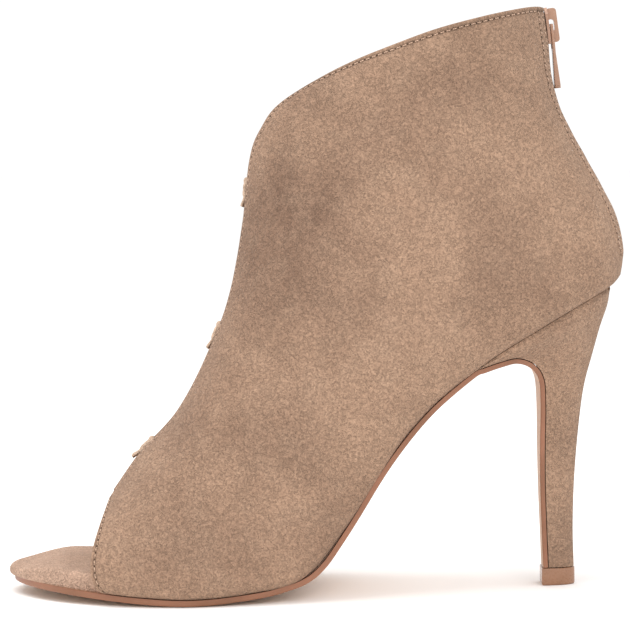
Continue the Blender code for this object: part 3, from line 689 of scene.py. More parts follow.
@dataclass(frozen=True)
class SpunThread:
    """Twisted polyester thread: two strands laid round each other, with a dull silk gloss and painted shade
    in the grooves between them.

    The wave texture repeats every 0.31 of its unit, so ply_mm gives strands of about 0.7 mm.
    """

    name: str
    colour: str
    gap_shade: str
    ply_mm: float = 2.2

    def make(self) -> bpy.types.Material:
        """Builds the material.

        Returns:
            The material.
        """
        made, tree, surface = blank(self.name)
        where = add_node(tree, "ShaderNodeTexCoord").outputs["Object"]
        turned = add_node(tree, "ShaderNodeMapping", {"Vector": where,
                                                      "Rotation": (0.0, math.radians(35), 0.0)}).outputs[0]
        ply = add_node(tree, "ShaderNodeTexWave", {
            "Vector": turned, "Scale": per_metre(self.ply_mm), "Distortion": 1.5})
        # painted shade: darker bands in the grooves between the two strands
        tone = blend_colours(tree, spread(tree, ply.outputs["Fac"], 0.2, 0.8), linear(self.gap_shade),
                             linear(self.colour))
        tree.links.new(tone, surface.inputs["Base Color"])
        surface.inputs["Roughness"].default_value = 0.62
        surface.inputs["Sheen Weight"].default_value = 0.15
        return made


@dataclass(frozen=True)
class WovenTape:
    """Zip tape: polyester in a plain weave, matt, with painted shade a little darker between its threads.

    Half a repeat of the wave texture is 1 / 6.3 of its unit, which makes it one thread wide.
    """

    name: str
    colour: str
    gap_shade: str
    thread_mm: float = 0.9
    half_repeat: float = 1 / 6.3

    def make(self) -> bpy.types.Material:
        """Builds the material.

        Returns:
            The material.
        """
        made, tree, surface = blank(self.name)
        where = add_node(tree, "ShaderNodeTexCoord").outputs["Object"]
        scale = per_metre(self.thread_mm) * self.half_repeat
        warp, weft = (add_node(tree, "ShaderNodeTexWave", {"Vector": where, "Scale": scale,
                                                           "Distortion": 0.4}, bands_direction=way)
                      for way in "YZ")
        cross = add_node(tree, "ShaderNodeMath", {0: warp.outputs["Fac"], 1: weft.outputs["Fac"]},
                         operation="MULTIPLY").outputs[0]
        # painted shade: darker between the threads of the weave
        tone = blend_colours(tree, cross, linear(self.gap_shade), linear(self.colour))
        tree.links.new(tone, surface.inputs["Base Color"])
        bump = add_node(tree, "ShaderNodeBump", {"Height": cross, "Strength": 0.5,
                                                 "Distance": 0.12 * MM}).outputs[0]
        tree.links.new(bump, surface.inputs["Normal"])
        surface.inputs["Roughness"].default_value = 0.88
        return made


@dataclass(frozen=True)
class StudioPaper:
    """Pale seamless studio floor."""

    name: str = "white_seamless_paper"
    colour: str = "#fbfaf9"

    def make(self) -> bpy.types.Material:
        """Builds the material.

        Returns:
            The material.
        """
        made, _, surface = blank(self.name)
        surface.inputs["Base Color"].default_value = linear(self.colour)
        surface.inputs["Roughness"].default_value = 0.9
        surface.inputs["Specular IOR Level"].default_value = 0.1
        return made


@dataclass(frozen=True)
class Finishes:
    """All the finishes of the boot, made once."""

    suede: BrushedSuede = BrushedSuede(
        "brushed_microfibre_suede", "#b79a83", "#ab8b74", "#7d6251", marks=(
            # the first patch is painted shade at the front of the ankle and the second a painted highlight
            # across the quarter; the others are smaller darker patches
            TonePatch(-0.010, 0.128, 0.030, 0.048, -18, 0.50),
            TonePatch(0.030, 0.092, 0.020, 0.062, -28, -0.35),
            TonePatch(0.060, 0.110, 0.030, 0.017, 10, 0.22),
            TonePatch(-0.040, 0.060, 0.022, 0.022, -20, 0.22),
            TonePatch(0.070, 0.175, 0.028, 0.020, -10, 0.20),
            TonePatch(0.000, 0.180, 0.028, 0.012, -30, 0.22)))
    # the footbed wears the upper's suede painted lighter: painted light for the light falling on its top
    footbed: BrushedSuede = BrushedSuede("footbed_suede_painted_lighter", "#cfb29c", "#c2a18c", "#ab8b75")
    # the ties wear the upper's suede painted lighter: painted light for the light falling on them from the
    # front
    lace: BrushedSuede = BrushedSuede("tie_suede_painted_lighter", "#e2c9b4", "#d6baa3", "#b5957c", stroke_mm=6.0,
                                      mottle_mm=2.5, crinkle_mm=1.8, fibre_mm=0.4)
    # dark caps at the needle holes: painted shade
    pit: BrushedSuede = BrushedSuede("needle_hole_painted_shade", "#5d4434", "#4c3628", "#3a281d", stroke_mm=8.0)
    lining: CoatedLining = CoatedLining("coated_knit_lining", "#cdb299")
    sole_edge: SoleSheet = SoleSheet("stained_sole_edge", "#80543a", "#946349", 0.42)
    sole_bottom: SoleSheet = SoleSheet("synthetic_sole_sheet", "#c9a688", "#bb977a", 0.5)
    tip: MouldedPlastic = MouldedPlastic("moulded_heel_tip", "#8a6043", "#94694d", 0.24, 0.4)
    coil: MouldedPlastic = MouldedPlastic("moulded_nylon_coil", "#5c4334", "#72584a", 0.45, 0.1)
    metal: PaintedZinc = PaintedZinc("painted_die_cast_zinc", "#a27b63", "#ae8b76")
    thread: SpunThread = SpunThread("spun_polyester_thread", "#c9a88f", "#9a7a64")
    tape: WovenTape = WovenTape("woven_zip_tape", "#7d6350", "#5b4637")
    floor: StudioPaper = StudioPaper()


# The last: the form that every piece follows


@dataclass
class Last:
    """The form of the boot: the foot bed, its outline and the sections of the upper.

    Lengths along the boot count from the toe, as in the CAD source, and shift_x and shift_y carry
    them to the row frame.
    """

    length: float = 223.0 * MM
    heel_height: float = 108.0 * MM
    shaft_height: float = 99.0 * MM
    ball_width: float = 77.0 * MM
    ball_at: float = 67.0 * MM
    seat_width: float = 51.6 * MM
    seat_length: float = 48.0 * MM
    collar_width: float = 59.0 * MM
    toe_swing: float = 4.0 * MM
    slit_gap: float = 8.0 * MM
    feather_gap: float = 0.55 * MM
    feather_roll: float = 2.2 * MM
    feather_roll_height: float = 3.2 * MM
    seat_squareness: float = 3.1
    fullness: float = 2.25
    swell_peak: float = 0.6
    tip_overhang: float = 0.3 * MM
    wall: float = 1.8 * MM
    zip_end: float = 0.13
    shift_x: float = 0.0
    shift_y: float = 0.0
    # share of the length, share of the heel height
    bed_rows: tuple = ((0.0, 0.062), (0.0582, 0.055), (0.1299, 0.043), (0.2106, 0.029), (0.2912, 0.0195),
                       (0.3669, 0.027), (0.4435, 0.050), (0.4993, 0.100), (0.5510, 0.240), (0.6137, 0.440),
                       (0.6765, 0.600), (0.7392, 0.713), (0.7979, 0.797), (0.8616, 0.874), (0.9263, 0.947),
                       (0.9801, 1.000))
    # share of the length, lateral and medial half widths as shares of the ball width
    waist_rows: tuple = ((0.3937, 0.466, 0.425), (0.4793, 0.414, 0.356), (0.5510, 0.374, 0.312),
                         (0.6317, 0.349, 0.300), (0.7073, 0.342, 0.315))
    # along, lean, height, spread, swell, counter, bow
    sections: tuple = (
        (0.1665, 0.0015, 0.307, 0.110, 0.000, 0.0, 0.0225),
        (0.2280, -0.0120, 0.469, 0.022, 0.004, 0.0, 0.0060),
        (0.3040, -0.0265, 0.626, 0.005, 0.006, 0.0, 0.0),
        (0.3935, -0.0635, 0.829, 0.000, 0.013, 0.0, 0.0),
        (0.4790, -0.1120, 0.996, 0.000, 0.026, 0.0, 0.0),
        (0.5510, -0.1600, 1.071, 0.000, 0.040, 0.0, 0.0),
        (0.6315, -0.2275, 1.030, 0.000, 0.055, 0.0, 0.0),
        (0.6695, -0.2470, 1.037, 0.022, 0.060, 0.0, 0.0),
        (0.7075, -0.2485, 1.053, 0.100, 0.062, 0.0, 0.0),
        (0.7840, -0.2250, 1.049, 0.290, 0.062, 0.1, 0.0),
        (0.8555, -0.1800, 1.050, 0.430, 0.055, 0.35, 0.0),
        (0.9185, -0.1440, 1.031, 0.370, 0.046, 0.7, 0.0),
        (0.9600, -0.1120, 1.020, 0.190, 0.032, 0.95, 0.0))
    back_seam: tuple = (0.9780, -0.1030, 1.004, 0.0, 0.0, 1.0, 0.0)
    # share of the shaft height, share of the length behind a straight line
    heel_curve: tuple = ((0.0, 0.0), (0.015, 0.0135), (0.040, 0.0235), (0.090, 0.0315), (0.170, 0.0370),
                         (0.270, 0.0350), (0.360, 0.0252), (0.450, 0.0125), (0.550, -0.0015),
                         (0.650, -0.0115), (0.750, -0.0135), (0.870, -0.0060), (1.0, 0.0))
    # front along, front rise, back along, back rise, half width
    heel_rows: tuple = ((0.7560, 0.7245, 0.9740, 0.9900, 0.500), (0.7960, 0.7520, 0.9730, 0.9350, 0.470),
                        (0.8240, 0.7600, 0.9620, 0.8550, 0.395), (0.8500, 0.7370, 0.9490, 0.7500, 0.310),
                        (0.8665, 0.6850, 0.9390, 0.6700, 0.248), (0.8705, 0.5950, 0.9320, 0.5850, 0.200),
                        (0.8700, 0.4280, 0.9240, 0.4280, 0.145), (0.8705, 0.2800, 0.9190, 0.2800, 0.114),
                        (0.8725, 0.1320, 0.9170, 0.1320, 0.100), (0.8745, 0.0000, 0.9180, 0.0000, 0.097))

    def __post_init__(self) -> None:
        """Works out the bed line and finds the row frame from the heel tip."""
        rows = np.array(self.bed_rows) * [self.length, self.heel_height]
        self.bed_line = catmull(rows, np.linspace(0, len(rows) - 1, 400))
        self.bed_normals = side_normals(self.bed_line)
        low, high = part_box("heel_tip")
        self.shift_x = high.x - (self.heel_rows[-1][2] * self.length + self.tip_overhang)
        self.shift_y = (low.y + high.y) / 2
        self.back = len(self.sections)
        self.rings = self.ring_table()

    def ring_table(self) -> Array:
        """Turns the sections' shares into real sizes.

        Returns:
            A row for each section, from the lateral toe opening round the back to the medial one.
        """
        rows = np.array([*self.sections, self.back_seam, *self.sections[::-1]])
        side = np.array([-1.0] * self.back + [0.0] + [1.0] * self.back)
        along, lean, height, top_share, swell, counter, bow = rows.T
        x = along * self.length
        foot = self.bed(x, np.full(len(x), self.feather_gap))
        half = np.where(side < 0, self.outline(Side.LATERAL, x), self.outline(Side.MEDIAL, x))
        top = self.slit_gap / 2 + top_share * self.collar_width
        return np.stack([side, foot[:, 0], foot[:, 1], lean, height * self.shaft_height, top, half,
                         swell * self.ball_width, counter, bow, self.swing(x)], 1)

    def place(self, points: Array) -> Array:
        """Carries points from lengths along the boot to the row frame."""
        return np.asarray(points, float) + [self.shift_x, self.shift_y, 0.0]

    def bed(self, x: Array, above: Array | float = 0.0) -> Array:
        """Reads the foot bed.

        Args:
            x: lengths along the boot.
            above: how far the points are lifted, square to the bed.

        Returns:
            Lengths and heights, shape (..., 2).
        """
        point = np.stack([np.interp(x, self.bed_line[:, 0], self.bed_line[:, k]) for k in (0, 1)], -1)
        normal = np.stack([np.interp(x, self.bed_line[:, 0], self.bed_normals[:, k]) for k in (0, 1)], -1)
        return point + np.asarray(above)[..., None] * normal

    def swing(self, x: Array) -> Array:
        """Returns how far the middle of the toe lies to the medial side at lengths x."""
        return self.toe_swing * np.maximum(0.0, 1 - np.asarray(x) / self.ball_at) ** 2

    def outline(self, side: Side, x: Array, grow: float = 0.0, setback: float = 0.0) -> Array:
        """Half widths of the foot bed at lengths x.

        An ellipse runs from the toe to the ball, an eased curve down the waist, and a squared
        ellipse round the heel seat.

        Args:
            side: which side of the boot.
            x: lengths along the boot.
            grow: how much wider than the bed, all round but at the toe.
            setback: how far the toe is taken back.

        Returns:
            The half widths.
        """
        x = np.asarray(x, float)
        ball, seat = self.ball_width / 2 + grow, self.seat_width / 2 + grow
        back = self.back_seam[0] * self.length
        start = back - self.seat_length
        toe = ball * np.sqrt(np.maximum(0, 1 - ((self.ball_at - x) / (self.ball_at - setback)) ** 2))
        column = 1 if side is Side.LATERAL else 2
        places = [self.ball_at, *[row[0] * self.length for row in self.waist_rows], start]
        halves = [ball, *[row[column] * self.ball_width + grow for row in self.waist_rows], seat]
        waist = ease(np.clip(x, self.ball_at, start), places, halves)
        share = np.clip((x - start) / (back + grow - start), 0, 1)
        round_end = seat * np.sqrt(1 - share**self.seat_squareness)
        return np.where(x < self.ball_at, toe, np.where(x < start, waist, round_end))

    def section(self, index: Array, v: Array) -> Array:
        """Points on whole sections of the upper.

        Each section is a curve from the foot bed, v = 0, to the slit or the collar, v = 1. Its width
        is its top width plus a squared quarter ellipse and a belly, and its foot rolls out.

        Args:
            index: section numbers from the lateral toe opening round the back to the medial one.
            v: height shares, of the same shape.

        Returns:
            The points, before they are placed, shape (..., 3).
        """
        row = np.moveaxis(self.rings[index], -1, 0)
        side, foot_x, foot_z, lean, rise, top, half, swell, counter, bow, middle = row
        curve = np.array(self.heel_curve)
        rank = np.interp(v, curve[:, 0], np.arange(len(curve)))
        behind = catmull(curve, rank.ravel())[:, 1].reshape(v.shape)
        belly = np.sin(math.pi * v**self.swell_peak)
        x = foot_x + (lean * v + counter * behind - bow * belly) * self.length
        rolled = 1 - np.minimum(rise * v / self.feather_roll_height, 1.0)
        roll = self.feather_roll * np.sqrt(1 - rolled**2) * (1 - 0.5 * counter)
        arc = np.sqrt(np.maximum(0.0, 1 - v**self.fullness))
        y = top + (half - top) * arc + swell * belly + roll * arc
        return np.stack([x, side * y + np.abs(side) * middle * (1 - v), foot_z + rise * v], -1)

    def upper(self, v: Array, u: Array) -> Array:
        """The outside of the upper: a Catmull-Rom surface between its sections.

        Args:
            v: height shares from the foot bed to the top edge.
            u: section counts from the lateral toe opening, 0, to the medial one.

        Returns:
            Points in the row frame, shape (..., 3).
        """
        v, u = np.broadcast_arrays(np.asarray(v, float), np.asarray(u, float))
        last = len(self.rings) - 1
        u = np.clip(u, 0, last)
        i = np.minimum(u.astype(int), last - 1)
        near = []
        for k in (-1, 0, 1, 2):
            held = np.clip(i + k, 0, last)
            point = self.section(held, v)
            outside = (held != i + k)[..., None]
            if outside.any():
                inner = np.clip(held + np.where(i + k < 0, 1, -1), 0, last)
                point = np.where(outside, 2 * point - self.section(inner, v), point)
            near.append(point)
        return self.place(cubic(*near, (u - i)[..., None]))

    def upper_frames(self, v: Array, u: Array) -> tuple[Array, Array]:
        """Reads the upper and the way out of it.

        Args:
            v: height shares from the foot bed to the top edge.
            u: section counts.

        Returns:
            The points and their outward normals, both shape (..., 3).
        """
        step = 1e-3
        v, u = np.broadcast_arrays(np.asarray(v, float), np.asarray(u, float))
        low_u, high_u = np.maximum(u - step, 0), np.minimum(u + step, len(self.rings) - 1)
        low_v, high_v = np.maximum(v - step, 0), np.minimum(v + step, 1)
        along = self.upper(v, high_u) - self.upper(v, low_u)
        up = self.upper(high_v, u) - self.upper(low_v, u)
        return self.upper(v, u), unit(np.cross(along, up))

    def share_off_middle(self, v: Array, reach: Array, side: Side) -> Array:
        """How far round from the back seam the upper is a distance off the middle.

        Args:
            v: height shares, shape (n,).
            reach: distances from the middle, shape (n,).
            side: which side of the boot.

        Returns:
            The section counts from the back seam, shape (n,).
        """
        shares = np.linspace(0, 1.8, 90)
        v, reach = np.broadcast_arrays(np.atleast_1d(v), np.atleast_1d(reach))
        away = np.abs(self.upper(v[:, None], self.back + side.value * shares)[..., 1] - self.shift_y)
        return crossing(-away.T, -reach) * (shares[1] - shares[0])

    def heel_line(self, columns: tuple[int, int], ranks: Array) -> Array:
        """Reads the heel's front or back line.

        Args:
            columns: the two columns of the heel's rows that hold the line.
            ranks: row numbers, which may fall between two rows.

        Returns:
            Lengths and heights, shape (n, 2).
        """
        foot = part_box("heel")[0].z
        rows = np.array(self.heel_rows)[:, columns]
        points = rows * [self.length, self.heel_height - foot] + [0.0, foot]
        return catmull(points, ranks)

    def heel_half(self, ranks: Array) -> Array:
        """Returns the heel's half widths at row ranks."""
        rows = np.array(self.heel_rows)[:, 4:5] * self.seat_width
        return catmull(rows, ranks)[:, 0]

    def slit_point(self, height: float) -> tuple[Array, Array, Array]:
        """Finds the middle of the slit at a height.

        Args:
            height: metres over the floor.

        Returns:
            The point, the way up the slit and the way out of the boot.
        """
        u = np.linspace(0, self.back, 400)
        edge = self.upper(1.0, u)
        k = int(np.argmax(edge[:, 2] > height))
        middle = edge[k] * [1, 0, 1] + [0, self.shift_y, 0]
        up = unit((edge[k + 4] - edge[k - 4]) * [1, 0, 1])
        return middle, up, np.array([-up[2], 0.0, up[0]])


# Stitching


@dataclass
class StitchRow:
    """A row of lockstitches along a line on a surface, each dipping into a needle hole."""

    pitch: float = 2.3 * MM
    thread: float = 0.22 * MM
    fill: float = 0.80
    proud: float = 0.10 * MM
    hole: float = 0.44 * MM

    def lay(self, line: Array, normals: Array) -> tuple[Array, Array, Array, Array]:
        """Works out the meshes of the threads and of the holes.

        A thread is a tube whose centre rises over the surface as a half wave between its two holes.
        A hole is a shallow cap that lies in the surface, dressed dark as painted shade.

        Args:
            line: points on the surface, shape (n, 3).
            normals: the surface's outward normals there.

        Returns:
            Thread vertices and quads, then hole vertices and quads.
        """
        walked = np.concatenate([[0], np.cumsum(np.linalg.norm(np.diff(line, axis=0), axis=1))])
        count = max(2, int(walked[-1] // self.pitch))
        ends = np.linspace(0, walked[-1], count + 1)

        def read(values: Array, at: Array) -> Array:
            """Reads values along the walk."""
            return np.stack([np.interp(at, walked, values[:, k]) for k in range(3)], -1)

        steps, sides = 7, 6
        share = np.linspace(0, 1, steps)
        low = ends[:-1] + (1 - self.fill) / 2 * np.diff(ends)
        at = low[:, None] + share[None, :] * self.fill * np.diff(ends)[:, None]
        centre, out = read(line, at), unit(read(normals, at))
        along = unit(np.gradient(centre, axis=1))
        across = np.cross(out, along)
        lift = self.proud + self.thread * (1.15 * np.sin(math.pi * share) - 0.85)
        centre = centre + out * lift[None, :, None]
        swell = self.thread * (0.55 + 0.45 * np.sin(math.pi * share) ** 0.5)
        angle = np.linspace(0, 2 * math.pi, sides, endpoint=False)[:, None]
        ring = across[:, :, None] * np.cos(angle) + out[:, :, None] * np.sin(angle)
        tube = (centre[:, :, None] + ring * swell[None, :, None, None]).reshape(-1, 3)
        one = grid_faces(steps, sides, wrap=True)
        threads = (one[None] + np.arange(count)[:, None, None] * steps * sides).reshape(-1, 4)

        hole_at, hole_out = read(line, ends), unit(read(normals, ends))
        hole_along = unit(np.gradient(hole_at, axis=0))
        hole_across = np.cross(hole_out, hole_along)
        turn = np.linspace(0, 2 * math.pi, 8, endpoint=False)
        rings = []
        for radius, rise in ((1.0, -0.5), (0.85, 0.1), (0.35, 0.18)):
            flat = (hole_along[:, None] * np.cos(turn)[:, None] * 1.1
                    + hole_across[:, None] * np.sin(turn)[:, None] * 0.85)
            rings.append(hole_at[:, None] + flat * radius * self.hole
                         + hole_out[:, None] * (rise * self.hole))
        cap = np.stack(rings, 1).reshape(-1, 3)
        one = grid_faces(3, 8, wrap=True)
        holes = (one[None] + np.arange(count + 1)[:, None, None] * 24).reshape(-1, 4)
        return tube, threads, cap, holes


@dataclass
class Seams:
    """Gathers stitch rows and turns them into one piece of thread and one of dark needle hole caps, which
    are painted shade.
    """

    threads: list = field(default_factory=list)
    holes: list = field(default_factory=list)

    def add(self, row: StitchRow, line: Array, normals: Array) -> None:
        """Adds a row along a line.

        Args:
            row: the kind of stitches.
            line: points on the surface, shape (n, 3).
            normals: the surface's outward normals there.
        """
        tube, quads, cap, pits = row.lay(line, normals)
        self.threads.append((tube, quads))
        self.holes.append((cap, pits))

    @staticmethod
    def merged(name: str, parts: list) -> bpy.types.Object:
        """Makes one piece of many vertex and face arrays.

        Args:
            name: the piece's name.
            parts: pairs of vertices and quads.

        Returns:
            The piece.
        """
        offset, points, faces = 0, [], []
        for vertices, quads in parts:
            points.append(vertices)
            faces.append(quads + offset)
            offset += len(vertices)
        return mesh_piece(name, np.concatenate(points), np.concatenate(faces).tolist(), 80)

    def build(self, finishes: dict[str, bpy.types.Material]) -> list[bpy.types.Object]:
        """Builds and dresses both pieces.

        Args:
            finishes: the materials by name.

        Returns:
            The threads and the needle hole caps in painted shade.
        """
        thread = outward_each(self.merged("stitch_threads", self.threads))
        # the needle hole caps are dressed dark as painted shade
        holes = self.merged("needle_hole_shade_caps", self.holes)
        thread.data.materials.append(finishes["thread"])
        holes.data.materials.append(finishes["pit"])
        return [thread, holes]


def outward_each(piece: bpy.types.Object) -> bpy.types.Object:
    """Closes each separate shell of a piece and turns its faces outwards.

    Args:
        piece: the piece.

    Returns:
        The same piece.
    """
    edit = bmesh.new()
    edit.from_mesh(piece.data)
    bmesh.ops.holes_fill(edit, edges=edit.edges, sides=8)
    bmesh.ops.recalc_face_normals(edit, faces=edit.faces)
    edit.to_mesh(piece.data)
    edit.free()
    return piece


# The upper and its lining


@dataclass
class Upper:
    """Two suede quarters joined at the back seam, their lining and all their stitching."""

    last: Last
    suede_thickness: float = 1.1 * MM
    lining_thickness: float = 0.55 * MM
    lining_depth: float = 1.2 * MM
    lining_inset: float = 1.3 * MM
    zip_slot: float = 5.4 * MM
    rows: int = 140
    columns: int = 250
    crowding: float = 0.72
    hem_stitch: float = 1.7 * MM
    slit_stitch: float = 5.0 * MM
    slit_top: tuple = (0.385, 0.465)
    zip_stitches: tuple = (3.6 * MM, 8.0 * MM)
    zip_fold: float = 0.45 * MM
    groove_width: float = 0.45 * MM
    groove_depth: float = 0.24 * MM
    ripple_height: float = 0.22 * MM
    ripple_lengths: tuple = (30.0 * MM, 11.0 * MM)
    fine_ripple: float = 0.35
    calm_foot: float = 8.0 * MM
    calm_edge: float = 6.0 * MM
    # from and to as shares of the length and of the boot's height, width, depth
    folds: tuple = (
        (0.30, 0.20, 0.40, 0.30, 5.0 * MM, 0.45 * MM), (0.36, 0.15, 0.47, 0.21, 6.0 * MM, 0.40 * MM),
        (0.43, 0.42, 0.52, 0.40, 5.0 * MM, 0.40 * MM), (0.46, 0.55, 0.56, 0.47, 6.5 * MM, 0.45 * MM),
        (0.55, 0.42, 0.68, 0.52, 7.0 * MM, 0.40 * MM), (0.52, 0.69, 0.60, 0.66, 6.0 * MM, 0.35 * MM),
        (0.84, 0.60, 0.93, 0.64, 7.0 * MM, 0.30 * MM))

    def top_rank(self, u: Array, inset: float) -> Array:
        """Finds the row share at which a column is an inset below its top edge.

        Args:
            u: section counts of the columns, shape (n,).
            inset: the distance from the edge, walked over the surface.

        Returns:
            The row shares w, where v = 1 - (1 - w) ** 2.
        """
        w = np.linspace(0.72, 1.0, 120)
        grid = self.last.upper((1 - (1 - w) ** 2)[:, None], u[None, :])
        rank = crossing(edge_distance(grid, 0, True), inset)
        return w[0] + rank * (w[1] - w[0])

    def slot_half(self, v: Array, inset: float) -> Array:
        """Half widths of the gap at the back at height shares v: a seam, then a slot with a round end."""
        share = np.clip((v - self.last.zip_end) * self.last.shaft_height / (self.zip_slot / 2), 0, 1)
        return inset + self.zip_slot / 2 * np.sqrt(1 - (1 - share) ** 2)

    def panel(self, side: Side, inset: float, rows: int, columns: int) -> tuple[Array, Array]:
        """Lays a grid over one quarter, a small inset inside its top, toe and back edges.

        Rows run up from the foot bed as v = 1 - (1 - w) ** 2, so that they crowd at the top edge, and
        columns crowd at both ends by a sine.

        Args:
            side: which quarter.
            inset: how far inside the edges the grid ends.
            rows: how many rows.
            columns: how many columns.

        Returns:
            The height shares and the section counts, both shape (rows, columns).
        """
        last = self.last
        w = np.linspace(0, 1, rows)
        even = np.linspace(0, 1, columns)
        share = even - self.crowding * np.sin(2 * math.pi * even) / (2 * math.pi)
        v = np.repeat((1 - (1 - w) ** 2)[:, None], columns, 1)
        toe_end = 0.0 if side is Side.LATERAL else 2.0 * last.back
        toe_step = 0.02 if side is Side.LATERAL else -0.02
        toe_column = 0 if side is Side.LATERAL else -1
        for _ in range(2):
            at_toe, at_back = v[:, toe_column], v[:, -1 - toe_column]
            reach = last.upper(at_toe, toe_end + toe_step) - last.upper(at_toe, toe_end)
            toe = toe_end + toe_step * inset / np.linalg.norm(reach, axis=-1)
            gap = last.share_off_middle(at_back, self.slot_half(at_back, inset), side)
            back = last.back + side.value * gap
            first, final = (toe, back) if side is Side.LATERAL else (back, toe)
            u = first[:, None] + (final - first)[:, None] * share
            top = self.top_rank(u[-1], inset)
            v = 1 - (1 - w[:, None] * top[None, :]) ** 2
        return v, u

    def edges(self, grid: Array, side: Side) -> tuple[Array, Array, Array]:
        """Returns the distances of a quarter's grid points from its top, toe and back edges."""
        lateral = side is Side.LATERAL
        return (edge_distance(grid, 0, True), edge_distance(grid, 1, not lateral),
                edge_distance(grid, 1, lateral))

    def fold_depth(self, points: Array) -> Array:
        """How far the listed folds press the surface in.

        Each fold is a trough along a line in the side view: a bell across the line, with a softer
        ridge of half the height beside it, fading out past the line's ends.

        Args:
            points: points in the row frame.

        Returns:
            The depths, below zero on the ridges.
        """
        height = self.last.heel_height + self.last.shaft_height
        x, z = points[..., 0] - self.last.shift_x, points[..., 2]
        total = np.zeros(points.shape[:-1])
        for x0, z0, x1, z1, width, depth in self.folds:
            start = np.array([x0 * self.last.length, z0 * height])
            way = np.array([x1 * self.last.length, z1 * height]) - start
            reach = np.linalg.norm(way)
            way /= reach
            along = (x - start[0]) * way[0] + (z - start[1]) * way[1]
            across = (z - start[1]) * way[0] - (x - start[0]) * way[1]
            past = np.maximum(0, np.maximum(-along, along - reach))
            fade = np.exp(-((past / (1.5 * width)) ** 2))
            trough = np.exp(-((across / width) ** 2))
            ridge = 0.5 * np.exp(-(((across - 1.7 * width) / width) ** 2))
            total += depth * fade * (trough - ridge)
        return total

    def relief(self, grid: Array, side: Side) -> Array:
        """How far the suede stands in or out at each grid point.

        Folds, a slow ripple that grows away from the sole, the second layer turned in beside the
        zip, and a groove under each row of stitches, shaped as a bell of the distance from its edge.

        Args:
            grid: points of the quarter.
            side: which quarter it is.

        Returns:
            Distances along the normal.
        """
        top, toe, back = self.edges(grid, side)
        inset = self.suede_thickness / 2
        rise = np.clip(edge_distance(grid, 0, False) / self.calm_foot, 0, 1)
        beside = self.beside_zip(grid)
        calm = np.clip((np.minimum(top, toe) + inset) / self.calm_edge, 0.25, 1)
        slow, fine = self.ripple_lengths
        soft = ripple(grid, slow, 4 + side.value) + self.fine_ripple * ripple(grid, fine, 9 + side.value)
        soft = self.ripple_height * soft * rise * calm
        past_fold = (back + inset - self.zip_stitches[-1] - 1.2 * MM) / (0.3 * MM)
        soft = soft + self.zip_fold * beside / (1 + np.exp(past_fold))
        groove = self.grooves(grid, side, self.groove_width)
        return soft - self.fold_depth(grid) * rise * calm - self.groove_depth * groove

    def hem_at(self, points: Array) -> Array:
        """Returns how far inside the top edge its stitches run: further at the slit than at the collar."""
        share = (points[..., 0] - self.last.shift_x) / self.last.length
        return np.interp(share, self.slit_top, (self.slit_stitch, self.hem_stitch))

    def beside_zip(self, grid: Array) -> Array:
        """Shares that rise from 0 to 1 at the height of the slot's end."""
        end = self.last.upper(np.array(self.last.zip_end), np.array(float(self.last.back)))
        return np.clip((grid[..., 2] - end[2] + 4 * MM) / (3 * MM), 0, 1)

    def grooves(self, grid: Array, side: Side, width: float) -> Array:
        """Shares from 0 to 1 of how near each grid point lies to a row of stitches.

        Args:
            grid: points of the quarter.
            side: which quarter it is.
            width: the half width of the bell over each row.

        Returns:
            The shares.
        """
        top, toe, back = self.edges(grid, side)
        inset = self.suede_thickness / 2
        from_row = np.minimum(top + inset - self.hem_at(grid), toe + inset - self.hem_stitch)
        groove = np.exp(-((from_row / width) ** 2))
        beside = self.beside_zip(grid)
        for distance in self.zip_stitches:
            groove = np.maximum(groove, beside * np.exp(-(((back + inset - distance) / width) ** 2)))
        return groove

    def quarter(self, side: Side, seams: Seams) -> bpy.types.Object:
        """Builds one suede quarter and lays its stitches.

        Args:
            side: which quarter.
            seams: takes the stitch rows.

        Returns:
            The quarter, a closed sheet.
        """
        inset = self.suede_thickness / 2
        v, u = self.panel(side, inset, self.rows, self.columns)
        base, normals = self.last.upper_frames(v, u)
        outer = base + normals * self.relief(base, side)[..., None]
        top, toe, back = self.edges(outer, side)
        lateral = side is Side.LATERAL
        rank = crossing(top, self.hem_at(outer[-1]) - inset)
        line, out = read_rows(outer, rank), read_rows(normals, rank)
        at = np.rint(rank).astype(int)
        column = np.arange(len(rank))
        kept = (toe[at, column] > self.hem_stitch) & (back[at, column] > self.zip_stitches[-1])
        seams.add(StitchRow(), line[kept], unit(out[kept]))
        sideways, turned = np.swapaxes(outer, 0, 1), np.swapaxes(normals, 0, 1)
        toe_field = -toe.T if lateral else toe.T
        level = inset - self.hem_stitch if lateral else self.hem_stitch - inset
        rank = crossing(toe_field, level)
        at = np.rint(rank).astype(int)
        kept = (top[np.arange(len(rank)), at] > self.slit_stitch) & (np.arange(len(rank)) > 2)
        seams.add(StitchRow(), read_rows(sideways, rank)[kept], unit(read_rows(turned, rank)[kept]))
        beside = v[:, -1 if lateral else 0] > self.last.zip_end - 0.02
        for distance in self.zip_stitches:
            field = back.T if lateral else -back.T
            rank = crossing(field, distance - inset if lateral else inset - distance)
            kept = beside & (top[np.arange(len(rank)), np.rint(rank).astype(int)] > self.hem_stitch / 2)
            seams.add(StitchRow(), read_rows(sideways, rank)[kept], unit(read_rows(turned, rank)[kept]))
        made = walled_sheet(f"suede_quarter_{side.name.lower()}", outer, normals, self.suede_thickness)
        # darkening along the stitch grooves for the suede's colour: partly pressed nap, partly painted shade
        nap_and_groove_shade = np.zeros(len(made.data.vertices), np.float32)
        nap_and_groove_shade[: top.size] = self.grooves(outer, side, 1.3 * self.groove_width).ravel()
        made.data.attributes.new(NAP_AND_GROOVE_SHADE, "FLOAT", "POINT").data.foreach_set("value", nap_and_groove_shade)
        return made

